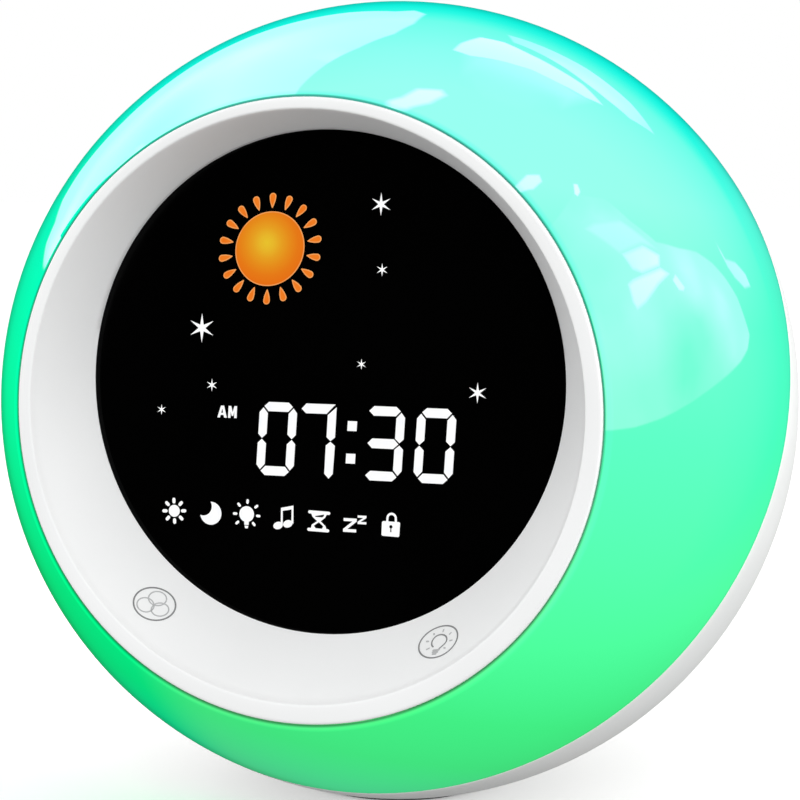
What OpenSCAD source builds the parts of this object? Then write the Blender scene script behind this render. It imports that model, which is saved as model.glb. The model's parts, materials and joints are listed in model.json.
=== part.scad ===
// Ball-shaped alarm clock with a night light, in millimetres.
// Origin: middle of the rubber pad's underside, on the table. +Z is up and the face looks towards -Y.
// Four frames share the ball's centre: the face, the seam between dome and rear shell, the back
// panel, and the table. on_face(), on_seam() and on_back() move their children into the first three.

/* [Body] */
// Diameter of the ball
ball_d = 160; // [150:1:200]
// Wall of the dome and of the rear shell
shell_wall = 2.5; // [2:0.1:3]
// Diameter of the flat foot under the ball
foot_d = 40; // [36:1:50]
// Height of the rubber pad below the foot
pad_proud = 0.8; // [0.5:0.1:1.2]
// Lean of the face away from upright
face_tilt = 3.3; // [0:0.1:6]
// Lean of the joint plane between dome and rear shell
seam_tilt = 21.7; // [19:0.1:24]
// Distance of the joint plane in front of the ball's centre
seam_offset = 3; // [2:0.5:4]

/* [Face] */
// Outer diameter of the white bezel ring
bezel_d = 114; // [94:1:118]
// Width of the bezel's raised rim
rim_w = 2.6; // [2:0.1:4]
// Mean width of the bowl that slopes from the rim to the display
bowl_run = 7.4; // [6:0.1:9]
// Height of the display's centre above the bezel's centre
display_rise = 5.1; // [3:0.1:6]
// Depth of the display below the bezel's edge
recess = 11.7; // [10:0.1:13]
// Thickness of the display lens
lens_t = 2; // [1.5:0.1:2.5]
// Thickness of the light guide
guide_t = 8.4; // [7:0.1:9]
// Diameter of the two touch keys
touch_d = 8.2; // [6:0.1:9]
// Angle of the left touch key from straight down
touch_left = 39; // [30:1:45]
// Angle of the right touch key from straight down
touch_right = 32.5; // [30:0.5:45]

/* [Back] */
// Diameter of the flat panel on the back
panel_d = 72; // [70:1:84]
// Number of keys on the back
key_count = 6; // [6]
// Diameter of a key
key_d = 9; // [7.5:0.1:10.8]
// Radius of the arc on which the keys sit
key_arc_r = 27.5; // [27:0.1:28]
// Angle between two keys
key_step = 28; // [27:0.5:30]
// Travel of a key
key_travel = 0.4; // [0.2:0.05:0.45]
// Travel of the slide switch
switch_travel = 3; // [2:0.1:3.6]
// Diameter of the loudspeaker
speaker_d = 40; // [33:1:41]
// Diameter of a grille hole
grille_d = 1.8; // [1.2:0.1:2.2]

/* [Inside] */
// Diameter of the battery cell
cell_d = 18.3; // [14:0.1:22]
// Length of the battery cell
cell_l = 65; // [50:1:66]
// Width of the main circuit board
board_w = 72; // [60:1:76]
// Height of the main circuit board
board_h = 56; // [46:1:60]
// Thickness of every circuit board
pcb_t = 1.6; // [1:0.1:2]
// Number of lamps on the light ring
led_count = 24; // [16:8:32]
// Thickness of the steel foot weight
weight_t = 8; // [6:0.5:12]

/* [Fits] */
// Gap around a moving key or knob
run_gap = 0.15; // [0.1:0.01:0.25]
// Gap around a piece that is dropped into a pocket
seat_gap = 0.2; // [0.1:0.05:0.3]
// Radial gap between a screw and its hole
screw_gap = 0.05; // [0.03:0.01:0.1]

/* [Hidden] */
$fn = 96;

// Body
ball_r = ball_d / 2;
inner_r = ball_r - shell_wall;
foot_r = foot_d / 2;
ball_z = pad_proud + sqrt(pow(ball_r, 2) - pow(foot_r, 2));
far = 2 * ball_r;
frame_turn = seam_tilt - face_tilt;

// Bezel, along the face's axis from the ball's centre
bezel_r = bezel_d / 2;
dome_edge_w = 1.1;
edge_z = sqrt(pow(ball_r, 2) - pow(bezel_r + dome_edge_w, 2));
crest_h = 1.2;
flange_t = 2.5;
flange_w = 2;
flange_z = edge_z - flange_t;
skirt_r = bezel_r - flange_w;
skirt_wall = 1.8;
bowl_r = bezel_r - rim_w;
bowl_rise = 0.6;
bowl_wall = 2.2;
display_r = bowl_r - bowl_run;
display_z = edge_z - recess;
lens_lip = 1;
lens_over = 1.2;
lens_r = display_r + lens_over;
lens_z = display_z - lens_lip - lens_t;
film_t = 0.3;
guide_z = lens_z - film_t - guide_t;
guide_r = display_r + 0.5;
face_board_z = guide_z - pcb_t;
face_board_r = skirt_r - skirt_wall - 0.4;
collar_wall = 1.7;
skirt_z = guide_z + 2.4;

// Screws that hold the bezel, its board and the tub together
boss_r = 2.9;
boss_ring_r = skirt_r - skirt_wall - boss_r + 0.3;
bezel_boss_angles = [-10, -76, -104, -170];
screw_r = 1.45;
head_r = 2.7;
head_h = 2.2;

// Touch keys
touch_post_r = touch_d / 2;
touch_ring_r = (bowl_r + display_r - display_rise) / 2 + 0.5;
touch_angles = [-90 - touch_left, -90 + touch_right];
touch_post_z = guide_z + 12.4;
spring_r = 2.2;
spring_wire = 0.6;
spring_turns = 5;

// Tub between bezel and chassis, and the dome's ledge
ledge_t = 2.1;
ledge_z = flange_z - ledge_t;
tub_in = skirt_r + seat_gap;
tub_wall = 1.8;
tub_r = tub_in + tub_wall;
tub_flange_t = 2;
tub_flange_z = face_board_z - tub_flange_t;
tub_flange_in = tub_in - 10;
tub_boss_r = 3.2;
tub_boss_h = 6;

// Chassis and light ring, along the seam's axis
lap_h = 2.5;
lap_wall = 1.5;
lap_r = sqrt(pow(inner_r, 2) - pow(seam_offset + lap_h, 2)) - seat_gap;
lap_in = lap_r - lap_wall;
chassis_t = 2;
chassis_z = seam_offset - chassis_t;
chassis_r = lap_in - 0.3;
tub_reach = (tub_r + seam_offset * sin(frame_turn)) / cos(frame_turn);
ring_in = tub_reach + 0.9;
ring_out = chassis_r - 3.3;
ring_mid = (ring_in + ring_out) / 2;
led_angles = [for (i = [0:led_count - 1]) (i + 0.5) * 360 / led_count];
led_s = 5;
led_h = 1.6;
ring_screw_r = 1.2;
ring_screw_angles = [45, 135, 225, 315];
ring_head_r = 2.2;
ring_head_h = 1.5;
ring_boss_r = 2.8;
ring_boss_h = 5;
tub_boss_sink = 0.8;
side_tub_boss = tub_in + tub_boss_sink - tub_boss_r;
tub_boss_lean = (seam_offset + tub_boss_h / 2) * sin(frame_turn);
top_tub_boss = (tub_in + tub_boss_sink - tub_boss_lean) / cos(frame_turn) - tub_boss_r;
low_tub_boss = (tub_in + tub_boss_sink + tub_boss_lean) / cos(frame_turn) - tub_boss_r;
tub_boss_spots = [
    [side_tub_boss, 0], [-side_tub_boss, 0], [0, top_tub_boss], [0, -low_tub_boss]
];

// Case screws, in wells of the rear shell
case_x = 45;
case_y = 38;
case_spots = [for (sx = [-1, 1], sy = [-1, 1]) [sx * case_x, sy * case_y]];
post_r = 4;
post_l = 21;
post_z = chassis_z - post_l;
well_r = 5.5;
well_in = 3.8;
well_floor = 2.5;
case_head_r = 3.4;

// Main board on the chassis's back
board_y = 8;
board_stand = 8;
board_top_z = chassis_z - board_stand;
board_z = board_top_z - pcb_t;
board_post_r = 3;
board_screw_r = 1.2;
board_head_r = 2.2;
board_head_h = 1.6;
board_spots = [
    for (sx = [-1, 1], sy = [-1, 1]) [sx * (board_w / 2 - 4), board_y + sy * (board_h / 2 - 4)]
];

// Chips and capacitors on the main board's rear: place, size and height
chips = [
    [[-8, 6], [10, 10, 1.6]], [[8, 14], [6, 5, 1.5]], [[-9, -8], [5, 6, 1.5]],
    [[22, 2], [6, 6, 2.8]], [[8, 2], [8, 3.2, 2]]
];
capacitors = [[[-24, 2], [4, 9]], [[-24, 13], [4, 9]], [[24, 13], [3.2, 7]]];

// Wire sockets on the main board, and the ribbon that passes the chassis above it
conn_h = 5;
conn_d = 5;
small_conn_w = 7;
ring_conn_w = 8;
key_conn_w = 12;
ribbon_conn_h = 2;
speaker_conn = [20, 26];
key_conn = [-18, 26];
battery_conn = [22, -13];
ring_conn = [-24, -13];
ribbon_conn_y = board_y + board_h / 2 - 3;
ribbon_y = board_y + board_h / 2 + 4;
ribbon_w = 14;
ribbon_t = 0.5;
ribbon_top_y = tub_in - 5;
ring_lead_hole_r = 1.6;

// Battery, just above the head of the lowest tub screw
cell_gap = 0.1;
cell_r = cell_d / 2;
holder_wall = 2.2;
holder_floor = 1.9;
cell_z = chassis_z - holder_floor - cell_r - cell_gap;
holder_l = cell_l + 2 * (holder_wall + cell_gap);
holder_w = cell_d + 2 * holder_wall - 0.6;
holder_clear = 1;
cell_y = holder_w / 2 + head_r + holder_clear - low_tub_boss;
ear_r = 2.6;
ear_x = holder_l / 2 + ear_r + 0.3;
ear_y = cell_y + 6;
ear_spots = [for (s = [-1, 1]) [s * ear_x, ear_y]];
ear_t = 2;
ear_boss_h = 5;
ear_z = chassis_z - ear_boss_h;

// Back panel, along the back's axis
panel_r = panel_d / 2;
panel_z = sqrt(pow(ball_r, 2) - pow(panel_r, 2));
panel_in = panel_z - shell_wall;
key_proud = 1;
key_edge = 0.4;
key_flange_w = 0.7;
key_flange_t = 1.3;
key_rest_gap = 0.3;
key_stem_r = 2.5;
key_stem_l = 1;
key_angles = [for (i = [0:key_count - 1]) 90 + key_step * (i - (key_count - 1) / 2)];
stem_z = panel_in - key_rest_gap - key_flange_t - key_stem_l;
tact_s = 6;
tact_h = 3.5;
plunger_r = 1.75;
plunger_out = 1.5;
plunger_in = 0.9;
plunger_gap = 0.1;
key_board_top = stem_z - plunger_out - tact_h;
key_board_z = key_board_top - pcb_t;
key_board_out = panel_r - 3;
key_board_in = speaker_d / 2 + 1;
key_boss_r = 2.4;
key_boss_ring = key_board_out - key_boss_r - 0.5;
key_boss_angles = [2, 178, 245, 295];
small_screw_r = 1;
small_head_r = 1.9;
small_head_h = 1.4;

// Charging socket and slide switch on the key board
usb_w = 8.94;
usb_h = 3.2;
usb_wall = 0.3;
usb_floor = 2;
tongue_w = 6.6;
tongue_t = 0.7;
tongue_recess = 0.8;
usb_y = -key_arc_r;
usb_recess = 1;
usb_gap = 0.3;
switch_x = -17;
switch_y = -22;
switch_l = 9;
switch_w = 4.4;
switch_h = 4;
knob_l = 4;
knob_w = 2.2;
knob_proud = 0.9;
knob_plate_t = 0.8;
knob_foot_l = 2;
knob_foot_w = 1.5;

// Loudspeaker
speaker_r = speaker_d / 2;
gasket_t = 1;
speaker_flange_t = 1.5;
speaker_flange_z = panel_in - gasket_t - speaker_flange_t;
basket_top = speaker_r - 2;
basket_low = speaker_r * 0.55;
basket_h = 10.4;
basket_z = speaker_flange_z - basket_h;
speaker_tab_y = speaker_r - 4.5;
yoke_t = 1.5;
magnet_h = 7;
cone_rim_z = speaker_flange_z + 0.6;
cone_h = 6.5;
cone_t = 0.6;
cone_r = speaker_r - 4.6;
coil_r = 5;
clip_t = 1.2;
clip_w = 5;
clip_in = speaker_r - 1.4;
clip_out = speaker_r + 5;
clip_mid = speaker_r + 3;
clip_boss_r = 2.2;
clip_angles = [200, 340];
hook_w = 3;
hook_wall = 1.2;
hook_t = 1.2;
grille_pitch = 4.2;

// Foot
pad_t = 1.6;
pad_r = foot_r - 1.5;
floor_z = pad_proud + shell_wall;
weight_r = foot_r - 2;
weight_boss_r = 4;
weight_screw_r = 1.9;
weight_head_r = weight_boss_r + 2;
weight_head_h = 2.4;

// Symbols, as drawn for a display of radius 47, measured from the bezel's centre
art = display_r / 47;
digit_w = 7.9 * art;
digit_h = 13.6 * art;
digit_left = [-12.9, -4.9, 8.4, 18.4] * art;
digit_low = -12.7 * art;
icon_pitch = 7.33 * art;
icon_left = -29.8 * art;
icon_low = -20.8 * art;
icon_count = 7;
sun_spot = [-10.9, 29.8] * art;
sun_cell_r = 7 * art;
star_spots = art * [
    [11.1, 38.2], [11.5, 26.2], [-24.6, 14.5], [7.8, 8.6], [-22.4, 3.7], [30.5, 4.1], [-32.8, -1.3]
];
colon_spots = [[6.2, -2.8], [6, -8.9]] * art;
am_spot = [-19.6, -1.1] * art;
seg_w = 1.7 * art;
seg_l = 3.6 * art;
seg_in = 1;
icon_cell = 5.4 * art;
colon_cell = 2.4 * art;
am_cell = [4.4, 3] * art;
star_cell_r = 1.6 * art;
bar_lamp = [1.4, 0.8, 0.7];
icon_lamp = [1.6, 1.6, 0.7];
sun_lamp = [2, 2, 0.8];
sun_lamp_r = 4 * art;
segments = [[0, 1, 0], [-1, 0.5, 90], [1, 0.5, 90], [0, 0, 0], [-1, -0.5, 90], [1, -0.5, 90], [0, -1, 0]];

// Wires
wire_d = 1.2;
wire_sides = 8;

// Points given in one frame, worked out in the table's frame
function seam_point(p) = [
    p.x, p.y * sin(seam_tilt) - p.z * cos(seam_tilt), ball_z + p.y * cos(seam_tilt) + p.z * sin(seam_tilt)
];
function back_point(p) = [-p.x, p.z, ball_z + p.y];
function seam_back(l) = l * [0, cos(seam_tilt), -sin(seam_tilt)];
seam_up = [0, sin(seam_tilt), cos(seam_tilt)];

// Moves its children into a frame with its origin at the ball's centre and +Z along that axis
module on_face() {
    translate([0, 0, ball_z]) rotate([90 - face_tilt, 0, 0]) children();
}

module on_seam() {
    translate([0, 0, ball_z]) rotate([90 - seam_tilt, 0, 0]) children();
}

module on_back() {
    translate([0, 0, ball_z]) rotate([90, 0, 180]) children();
}

// From inside on_face(), into the seam's frame
module face_to_seam() {
    rotate([-frame_turn, 0, 0]) children();
}

// A cylinder between two heights
module disc(r, z0, z1) {
    translate([0, 0, z0]) cylinder(r = r, h = z1 - z0);
}

// A tube between two heights
module tube(r_out, r_in, z0, z1) {
    difference() {
        disc(r_out, z0, z1);
        disc(r_in, z0 - 1, z1 + 1);
    }
}

// A box centred in x and y between two heights
module block(w, d, z0, z1) {
    translate([-w / 2, -d / 2, z0]) cube([w, d, z1 - z0]);
}

module at_angles(r, angles) {
    for (a = angles) rotate(a) translate([r, 0, 0]) children();
}

module at_spots(spots) {
    for (p = spots) translate([p.x, p.y, 0]) children();
}

// A pan-head screw pointing up, with its head below z
module screw_up(r, head, head_height, z, l) {
    union() {
        disc(head, z - head_height, z);
        disc(r, z - 0.01, z + l);
    }
}

// A smooth curve through a list of points, and a tube along it
function curve_at(a, b, c, d, t) = 0.5 * (2 * b + (c - a) * t + (2 * a - 5 * b + 4 * c - d) * t * t
    + (3 * b - a - 3 * c + d) * t * t * t);
function curve(p, steps) = [
    for (i = [0:len(p) - 2], k = [0:steps - 1])
        curve_at(p[max(i - 1, 0)], p[i], p[i + 1], p[min(i + 2, len(p) - 1)], k / steps),
    p[len(p) - 1]
];
function unit(v) = v / norm(v);
function ring_points(c, t, side, r) = let(n = unit(cross(t, side)), b = cross(t, n))
    [for (k = [0:wire_sides - 1]) c + r * (cos(k * 360 / wire_sides) * n + sin(k * 360 / wire_sides) * b)];

module wire(points, side, d) {
    c = curve(points, 6);
    last = len(c) - 1;
    end = len(points) - 1;
    ways = [points[1] - points[0], for (i = [1:last - 1]) c[i + 1] - c[i - 1], points[end] - points[end - 1]];
    rings = [for (i = [0:last]) ring_points(c[i], unit(ways[i]), side, d / 2)];
    n = wire_sides;
    polyhedron(
        points = [for (r = rings) for (p = r) p],
        faces = concat(
            [[for (k = [n - 1:-1:0]) k]],
            [for (i = [0:last - 1], k = [0:n - 1])
                [i * n + k, i * n + (k + 1) % n, (i + 1) * n + (k + 1) % n, (i + 1) * n + k]],
            [[for (k = [0:n - 1]) last * n + k]]
        )
    );
}

module ball(r) {
    translate([0, 0, ball_z]) sphere(r = r);
}

// Everything in front of a height in the current frame, and everything behind it
module beyond(z) {
    block(2 * far, 2 * far, z, z + far);
}

module below(z) {
    block(2 * far, 2 * far, z - far, z);
}

// Dome: the ball in front of the seam, open for the bezel, with a ledge that the bezel sits on
module light_dome() {
    color("mediumspringgreen") difference() {
        union() {
            difference() {
                ball(ball_r);
                ball(inner_r);
            }
            intersection() {
                ball(ball_r - 0.5);
                on_face() disc(bezel_r + 3, ledge_z, flange_z);
            }
        }
        on_face() {
            beyond(edge_z);
            disc(bezel_r + run_gap, flange_z, far);
            disc(tub_in, 0, far);
        }
        on_seam() below(seam_offset);
    }
}

// The bowl's surface, an oblique cone from the rim down to the display
module bowl(extra, z_low) {
    slope = (bowl_r - display_r) / (edge_z + crest_h - display_z);
    top_z = edge_z + crest_h + 1;
    hull() {
        translate([0, bowl_rise, top_z]) cylinder(r = bowl_r + slope + extra, h = 0.1, $fn = 64);
        translate([0, display_rise, z_low]) cylinder(r = display_r + extra, h = 0.1, $fn = 64);
    }
}

// Touch key places in the face's frame
module at_touch_keys() {
    at_angles(touch_ring_r, touch_angles) children();
}

module bezel_rim() {
    rotate_extrude() union() {
        polygon([
            [skirt_r - skirt_wall, flange_z], [bezel_r, flange_z], [bezel_r, edge_z],
            [bezel_r - rim_w / 4, edge_z + crest_h * 0.8], [bezel_r - rim_w / 2, edge_z + crest_h],
            [bezel_r - rim_w * 0.8, edge_z + crest_h * 0.9], [bowl_r - 1, edge_z - 1]
        ]);
    }
}

// Bezel: rim, bowl and skirt in one moulding, with bosses for the board and posts for the touch springs
module front_bezel() {
    color("whitesmoke") on_face() difference() {
        union() {
            bezel_rim();
            tube(skirt_r, skirt_r - skirt_wall, skirt_z, flange_z + 0.5);
            intersection() {
                union() {
                    bowl(bowl_wall, display_z - lens_lip);
                    translate([0, display_rise, 0]) disc(lens_r + collar_wall, guide_z + 1.5, display_z);
                    at_touch_keys() disc(touch_post_r, touch_post_z, flange_z - 2);
                }
                disc(skirt_r, 0, edge_z);
            }
            at_angles(boss_ring_r, bezel_boss_angles) disc(boss_r, guide_z, flange_z - 2);
        }
        bowl(0, display_z - lens_lip);
        translate([0, display_rise, 0]) {
            disc(display_r, 0, display_z);
            disc(lens_r + seat_gap / 2, 0, display_z - lens_lip);
        }
        at_angles(boss_ring_r, bezel_boss_angles) disc(screw_r + screw_gap, 0, guide_z + 11);
    }
}

module display_lens() {
    color("black") on_face() translate([0, display_rise, 0]) disc(lens_r, lens_z, lens_z + lens_t);
}

module icon_film() {
    color("dimgray") on_face() translate([0, display_rise, 0]) disc(guide_r, lens_z - film_t, lens_z);
}

// Places of the seven bars of one digit
module at_segments() {
    for (i = [0:3]) translate([digit_left[i] + digit_w / 2, digit_low + digit_h / 2, 0])
        for (s = segments) translate([s.x * (digit_w / 2 - seg_in), s.y * (digit_h / 2 - seg_in), 0])
            rotate(s.z) children();
}

module at_icons() {
    for (i = [0:icon_count - 1]) translate([icon_left + i * icon_pitch, icon_low, 0]) children();
}

// Light guide: a block with one shaft for each lit symbol
module light_guide() {
    shaft_0 = guide_z - 1;
    shaft_1 = guide_z + guide_t + 1;
    color("white") on_face() difference() {
        translate([0, display_rise, 0]) disc(guide_r, guide_z, guide_z + guide_t);
        at_segments() block(seg_l, seg_w, shaft_0, shaft_1);
        at_icons() block(icon_cell, icon_cell, shaft_0, shaft_1);
        at_spots(colon_spots) block(colon_cell, colon_cell, shaft_0, shaft_1);
        at_spots([am_spot]) block(am_cell.x, am_cell.y, shaft_0, shaft_1);
        at_spots([sun_spot]) disc(sun_cell_r, shaft_0, shaft_1);
        at_spots(star_spots) disc(star_cell_r, shaft_0, shaft_1, $fn = 24);
    }
}

module display_board() {
    color("darkgreen") on_face() difference() {
        disc(face_board_r, face_board_z, guide_z);
        at_angles(boss_ring_r, bezel_boss_angles) disc(screw_r + 3 * screw_gap, 0, far);
    }
}

// A lamp that lies on the display board
module lamp(size) {
    block(size.x, size.y, guide_z, guide_z + size.z);
}

module display_leds() {
    color("lightyellow") on_face() {
        at_segments() lamp(bar_lamp);
        at_spots(concat(colon_spots, [am_spot], star_spots)) lamp(bar_lamp);
        at_icons() lamp(icon_lamp);
        at_spots([sun_spot]) at_angles(sun_lamp_r, [90, 210, 330]) lamp(sun_lamp);
    }
}

// Touch spring: an open coil from the board to the post behind the touch key
module coil(r, d, z0, z1, turns) {
    steps = 16;
    last = steps * turns;
    n = 6;
    rise = (z1 - z0 - d) / last;
    c = [for (i = [0:last], a = i * 360 / steps) [r * cos(a), r * sin(a), z0 + d / 2 + rise * i]];
    polyhedron(
        points = [
            for (i = [0:last], k = [0:n - 1])
                let(a = i * 360 / steps, b = k * 360 / n, u = [cos(a), sin(a), 0])
                    c[i] + d / 2 * (cos(b) * u + sin(b) * [0, 0, 1])
        ],
        faces = concat(
            [[for (k = [0:n - 1]) k]],
            [for (i = [0:last - 1], k = [0:n - 1])
                [i * n + k, (i + 1) * n + k, (i + 1) * n + (k + 1) % n, i * n + (k + 1) % n]],
            [[for (k = [n - 1:-1:0]) last * n + k]]
        )
    );
}

module touch_springs() {
    color("gold") on_face() at_touch_keys() coil(spring_r, spring_wire, guide_z, touch_post_z, spring_turns);
}

module bezel_screws() {
    color("silver") on_face() at_angles(boss_ring_r, bezel_boss_angles)
        screw_up(screw_r, head_r, head_h, tub_flange_z, tub_flange_t + pcb_t + 10);
}

// Tub: a tube that joins bezel and chassis and keeps the lamp light out of the display
module bezel_tub() {
    color("white") on_face() difference() {
        union() {
            tube(tub_r, tub_in, -far / 4, ledge_z);
            tube(tub_in + 0.5, tub_flange_in, tub_flange_z, face_board_z);
            intersection() {
                face_to_seam() at_spots(tub_boss_spots)
                    disc(tub_boss_r, seam_offset, seam_offset + tub_boss_h);
                disc(tub_r, -far, far);
            }
        }
        at_angles(boss_ring_r, bezel_boss_angles) disc(screw_r + 3 * screw_gap, 0, far);
        translate([0, ribbon_top_y, 0]) block(ribbon_w + 2, 9.8, tub_flange_z - 1, face_board_z + 1);
        face_to_seam() {
            below(seam_offset);
            at_spots(tub_boss_spots) disc(board_screw_r + screw_gap, 0, seam_offset + tub_boss_h - 1);
        }
    }
}

module tub_screws() {
    color("silver") on_seam() at_spots(tub_boss_spots)
        screw_up(board_screw_r, head_r, head_h, chassis_z, chassis_t + tub_boss_h - 2);
}

// Chassis: the plate behind the light ring that carries the boards and the battery
module chassis() {
    color("white") on_seam() difference() {
        union() {
            disc(chassis_r, chassis_z, seam_offset);
            at_spots(case_spots) disc(post_r, post_z, chassis_z + 0.5);
            at_spots(board_spots) disc(board_post_r, board_top_z, chassis_z + 0.5);
            at_angles(ring_mid, ring_screw_angles)
                disc(ring_boss_r, chassis_z - ring_boss_h, chassis_z + 0.5);
            at_spots(ear_spots) disc(ear_r, ear_z, chassis_z + 0.5);
        }
        at_spots(case_spots) disc(screw_r + screw_gap, post_z - 1, post_z + 12);
        at_spots(board_spots) disc(board_screw_r + screw_gap, board_top_z - 1, board_top_z + 6);
        at_spots(tub_boss_spots) disc(board_screw_r + 3 * screw_gap, 0, far);
        at_angles(ring_mid, ring_screw_angles)
            disc(ring_screw_r + screw_gap, chassis_z - ring_boss_h + 1, far);
        at_spots(ear_spots) disc(board_screw_r + screw_gap, ear_z - 1, ear_z + 6);
        translate([0, ribbon_y, 0]) block(ribbon_w + 2, 4, 0, far);
        translate([-ring_mid, 0, 0]) disc(ring_lead_hole_r, 0, far);
    }
}

module led_ring_board() {
    color("white") on_seam() difference() {
        tube(ring_out, ring_in, seam_offset, seam_offset + pcb_t);
        at_angles(ring_mid, ring_screw_angles) disc(ring_screw_r + 3 * screw_gap, 0, far);
    }
}

module ring_leds() {
    top = seam_offset + pcb_t;
    color("lightyellow") on_seam() at_angles(ring_mid, led_angles) block(led_s, led_s, top, top + led_h);
}

module ring_screws() {
    top = seam_offset + pcb_t;
    color("silver") on_seam() at_angles(ring_mid, ring_screw_angles) union() {
        disc(ring_head_r, top, top + ring_head_h);
        disc(ring_screw_r, chassis_z - ring_boss_h + 1.5, top + 0.01);
    }
}

// Rear shell: the ball behind the seam, with foot, back panel, screw wells and bosses
module rear_shell() {
    color("whitesmoke") difference() {
        intersection() {
            ball(ball_r);
            union() {
                difference() {
                    on_seam() below(seam_offset);
                    ball(inner_r);
                }
                on_seam() {
                    tube(lap_r, lap_in, seam_offset - 2, seam_offset + lap_h);
                    tube(inner_r + 0.1, lap_in, seam_offset - 4, seam_offset);
                    at_spots(case_spots) disc(well_r, -far, post_z);
                }
                on_back() {
                    disc(panel_r + 0.2, panel_in, panel_z + 1);
                    at_angles(key_boss_ring, key_boss_angles) disc(key_boss_r, key_board_top, panel_z);
                    at_angles(clip_mid, clip_angles) disc(clip_boss_r, speaker_flange_z, panel_z);
                    speaker_hook();
                }
                disc(foot_r + 0.5, 0, floor_z);
                disc(weight_boss_r, 0, floor_z + weight_t - 2);
            }
        }
        disc(foot_r + 5, -10, pad_proud);
        disc(pad_r + 0.1, 0, pad_t);
        disc(weight_screw_r + screw_gap, floor_z + 0.5, far);
        on_seam() at_spots(case_spots) {
            disc(well_in, -far, post_z - well_floor);
            disc(screw_r + 3 * screw_gap, -far, 0);
        }
        on_back() back_holes();
    }
}

// Hook that holds the top of the loudspeaker's flange
module speaker_hook() {
    hook_in = speaker_r + seat_gap;
    hook_low = speaker_flange_z - seat_gap - hook_t;
    translate([0, hook_in + hook_wall / 2, 0]) block(hook_w, hook_wall, hook_low, panel_z);
    translate([0, hook_in - 0.5, 0]) block(hook_w, 2, hook_low, hook_low + hook_t);
}

// Openings in the back panel
module back_holes() {
    beyond(panel_z);
    at_angles(key_arc_r, key_angles) disc(key_d / 2 + run_gap, panel_in - 1, far);
    at_angles(key_boss_ring, key_boss_angles)
        disc(small_screw_r + screw_gap, key_board_top - 1, key_board_top + 6);
    at_angles(clip_mid, clip_angles)
        disc(small_screw_r + screw_gap, speaker_flange_z - 1, panel_in + 1);
    disc(grille_d / 2, panel_in - 1, far, $fn = 24);
    for (ring = [1:3]) at_angles(ring * grille_pitch, [for (i = [1:6 * ring]) i * 60 / ring])
        disc(grille_d / 2, panel_in - 1, far, $fn = 24);
    translate([0, usb_y, 0]) slot(usb_w + 2 * usb_gap, usb_h + 2 * usb_gap, panel_in - 1, far);
    translate([switch_x, switch_y, 0])
        block(knob_l + switch_travel + 2 * run_gap, knob_w + 2 * run_gap, panel_in - 1, far);
}

// A straight slot with round ends, its length along x
module slot(l, w, z0, z1) {
    union() {
        block(l - w, w, z0, z1);
        for (s = [-1, 1]) translate([s * (l - w) / 2, 0, 0]) disc(w / 2, z0, z1);
    }
}

module case_screws() {
    color("silver") on_seam() at_spots(case_spots)
        screw_up(screw_r, case_head_r, head_h, post_z - well_floor, well_floor + 10);
}

module main_board() {
    color("darkgreen") on_seam() difference() {
        translate([0, board_y, 0]) block(board_w, board_h, board_z, board_top_z);
        at_spots(board_spots) disc(board_screw_r + 3 * screw_gap, -far, 0);
    }
}

module main_board_screws() {
    color("silver") on_seam() at_spots(board_spots)
        screw_up(board_screw_r, board_head_r, board_head_h, board_z, pcb_t + 5);
}

module main_chips() {
    color("darkslategray") on_seam() for (c = chips)
        at_spots([c[0]]) block(c[1].x, c[1].y, board_z - c[1].z, board_z);
}

module main_capacitors() {
    color("navy") on_seam() for (c = capacitors) at_spots([c[0]]) disc(c[1].x, board_z - c[1].y, board_z);
}

module main_connectors() {
    color("ivory") on_seam() {
        at_spots([speaker_conn, battery_conn]) block(small_conn_w, conn_d, board_z - conn_h, board_z);
        at_spots([key_conn]) block(key_conn_w, conn_d, board_z - conn_h, board_z);
        at_spots([ring_conn]) block(ring_conn_w, conn_d, board_z - conn_h, board_z);
        at_spots([[0, ribbon_conn_y]]) block(ribbon_w + 3, conn_d, board_z - ribbon_conn_h, board_z);
    }
}

// Battery cell in a cradle under the main board
module battery_holder() {
    color("black") on_seam() difference() {
        union() {
            translate([0, cell_y, 0]) block(holder_l, holder_w, cell_z - 2, chassis_z);
            at_spots(ear_spots) disc(ear_r, ear_z - ear_t, ear_z);
            for (s = [-1, 1]) translate([s * (ear_x - 2), ear_y, 0])
                block(4, 2 * ear_r, ear_z - ear_t, ear_z);
        }
        translate([0, cell_y, cell_z]) rotate([0, 90, 0])
            cylinder(r = cell_r + cell_gap, h = cell_l + 2 * cell_gap, center = true);
        translate([0, cell_y, 0]) block(cell_l + 2 * cell_gap, 2 * (cell_r + cell_gap), cell_z - far, cell_z);
        at_spots(ear_spots) disc(board_screw_r + 3 * screw_gap, -far, far);
    }
}

module battery_cell() {
    color("royalblue") on_seam() translate([0, cell_y, cell_z - cell_gap]) rotate([0, 90, 0]) union() {
        translate([0, 0, -cell_l / 2]) cylinder(r = cell_r, h = cell_l - 1.2);
        translate([0, 0, cell_l / 2 - 1.3]) cylinder(r = 3, h = 1.3);
    }
}

module battery_screws() {
    color("silver") on_seam() at_spots(ear_spots)
        screw_up(board_screw_r, board_head_r, board_head_h, ear_z - ear_t, ear_t + ear_boss_h);
}

module speaker_gasket() {
    color("black") on_back() tube(speaker_r, speaker_r - 2.4, panel_in - gasket_t, panel_in);
}

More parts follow.
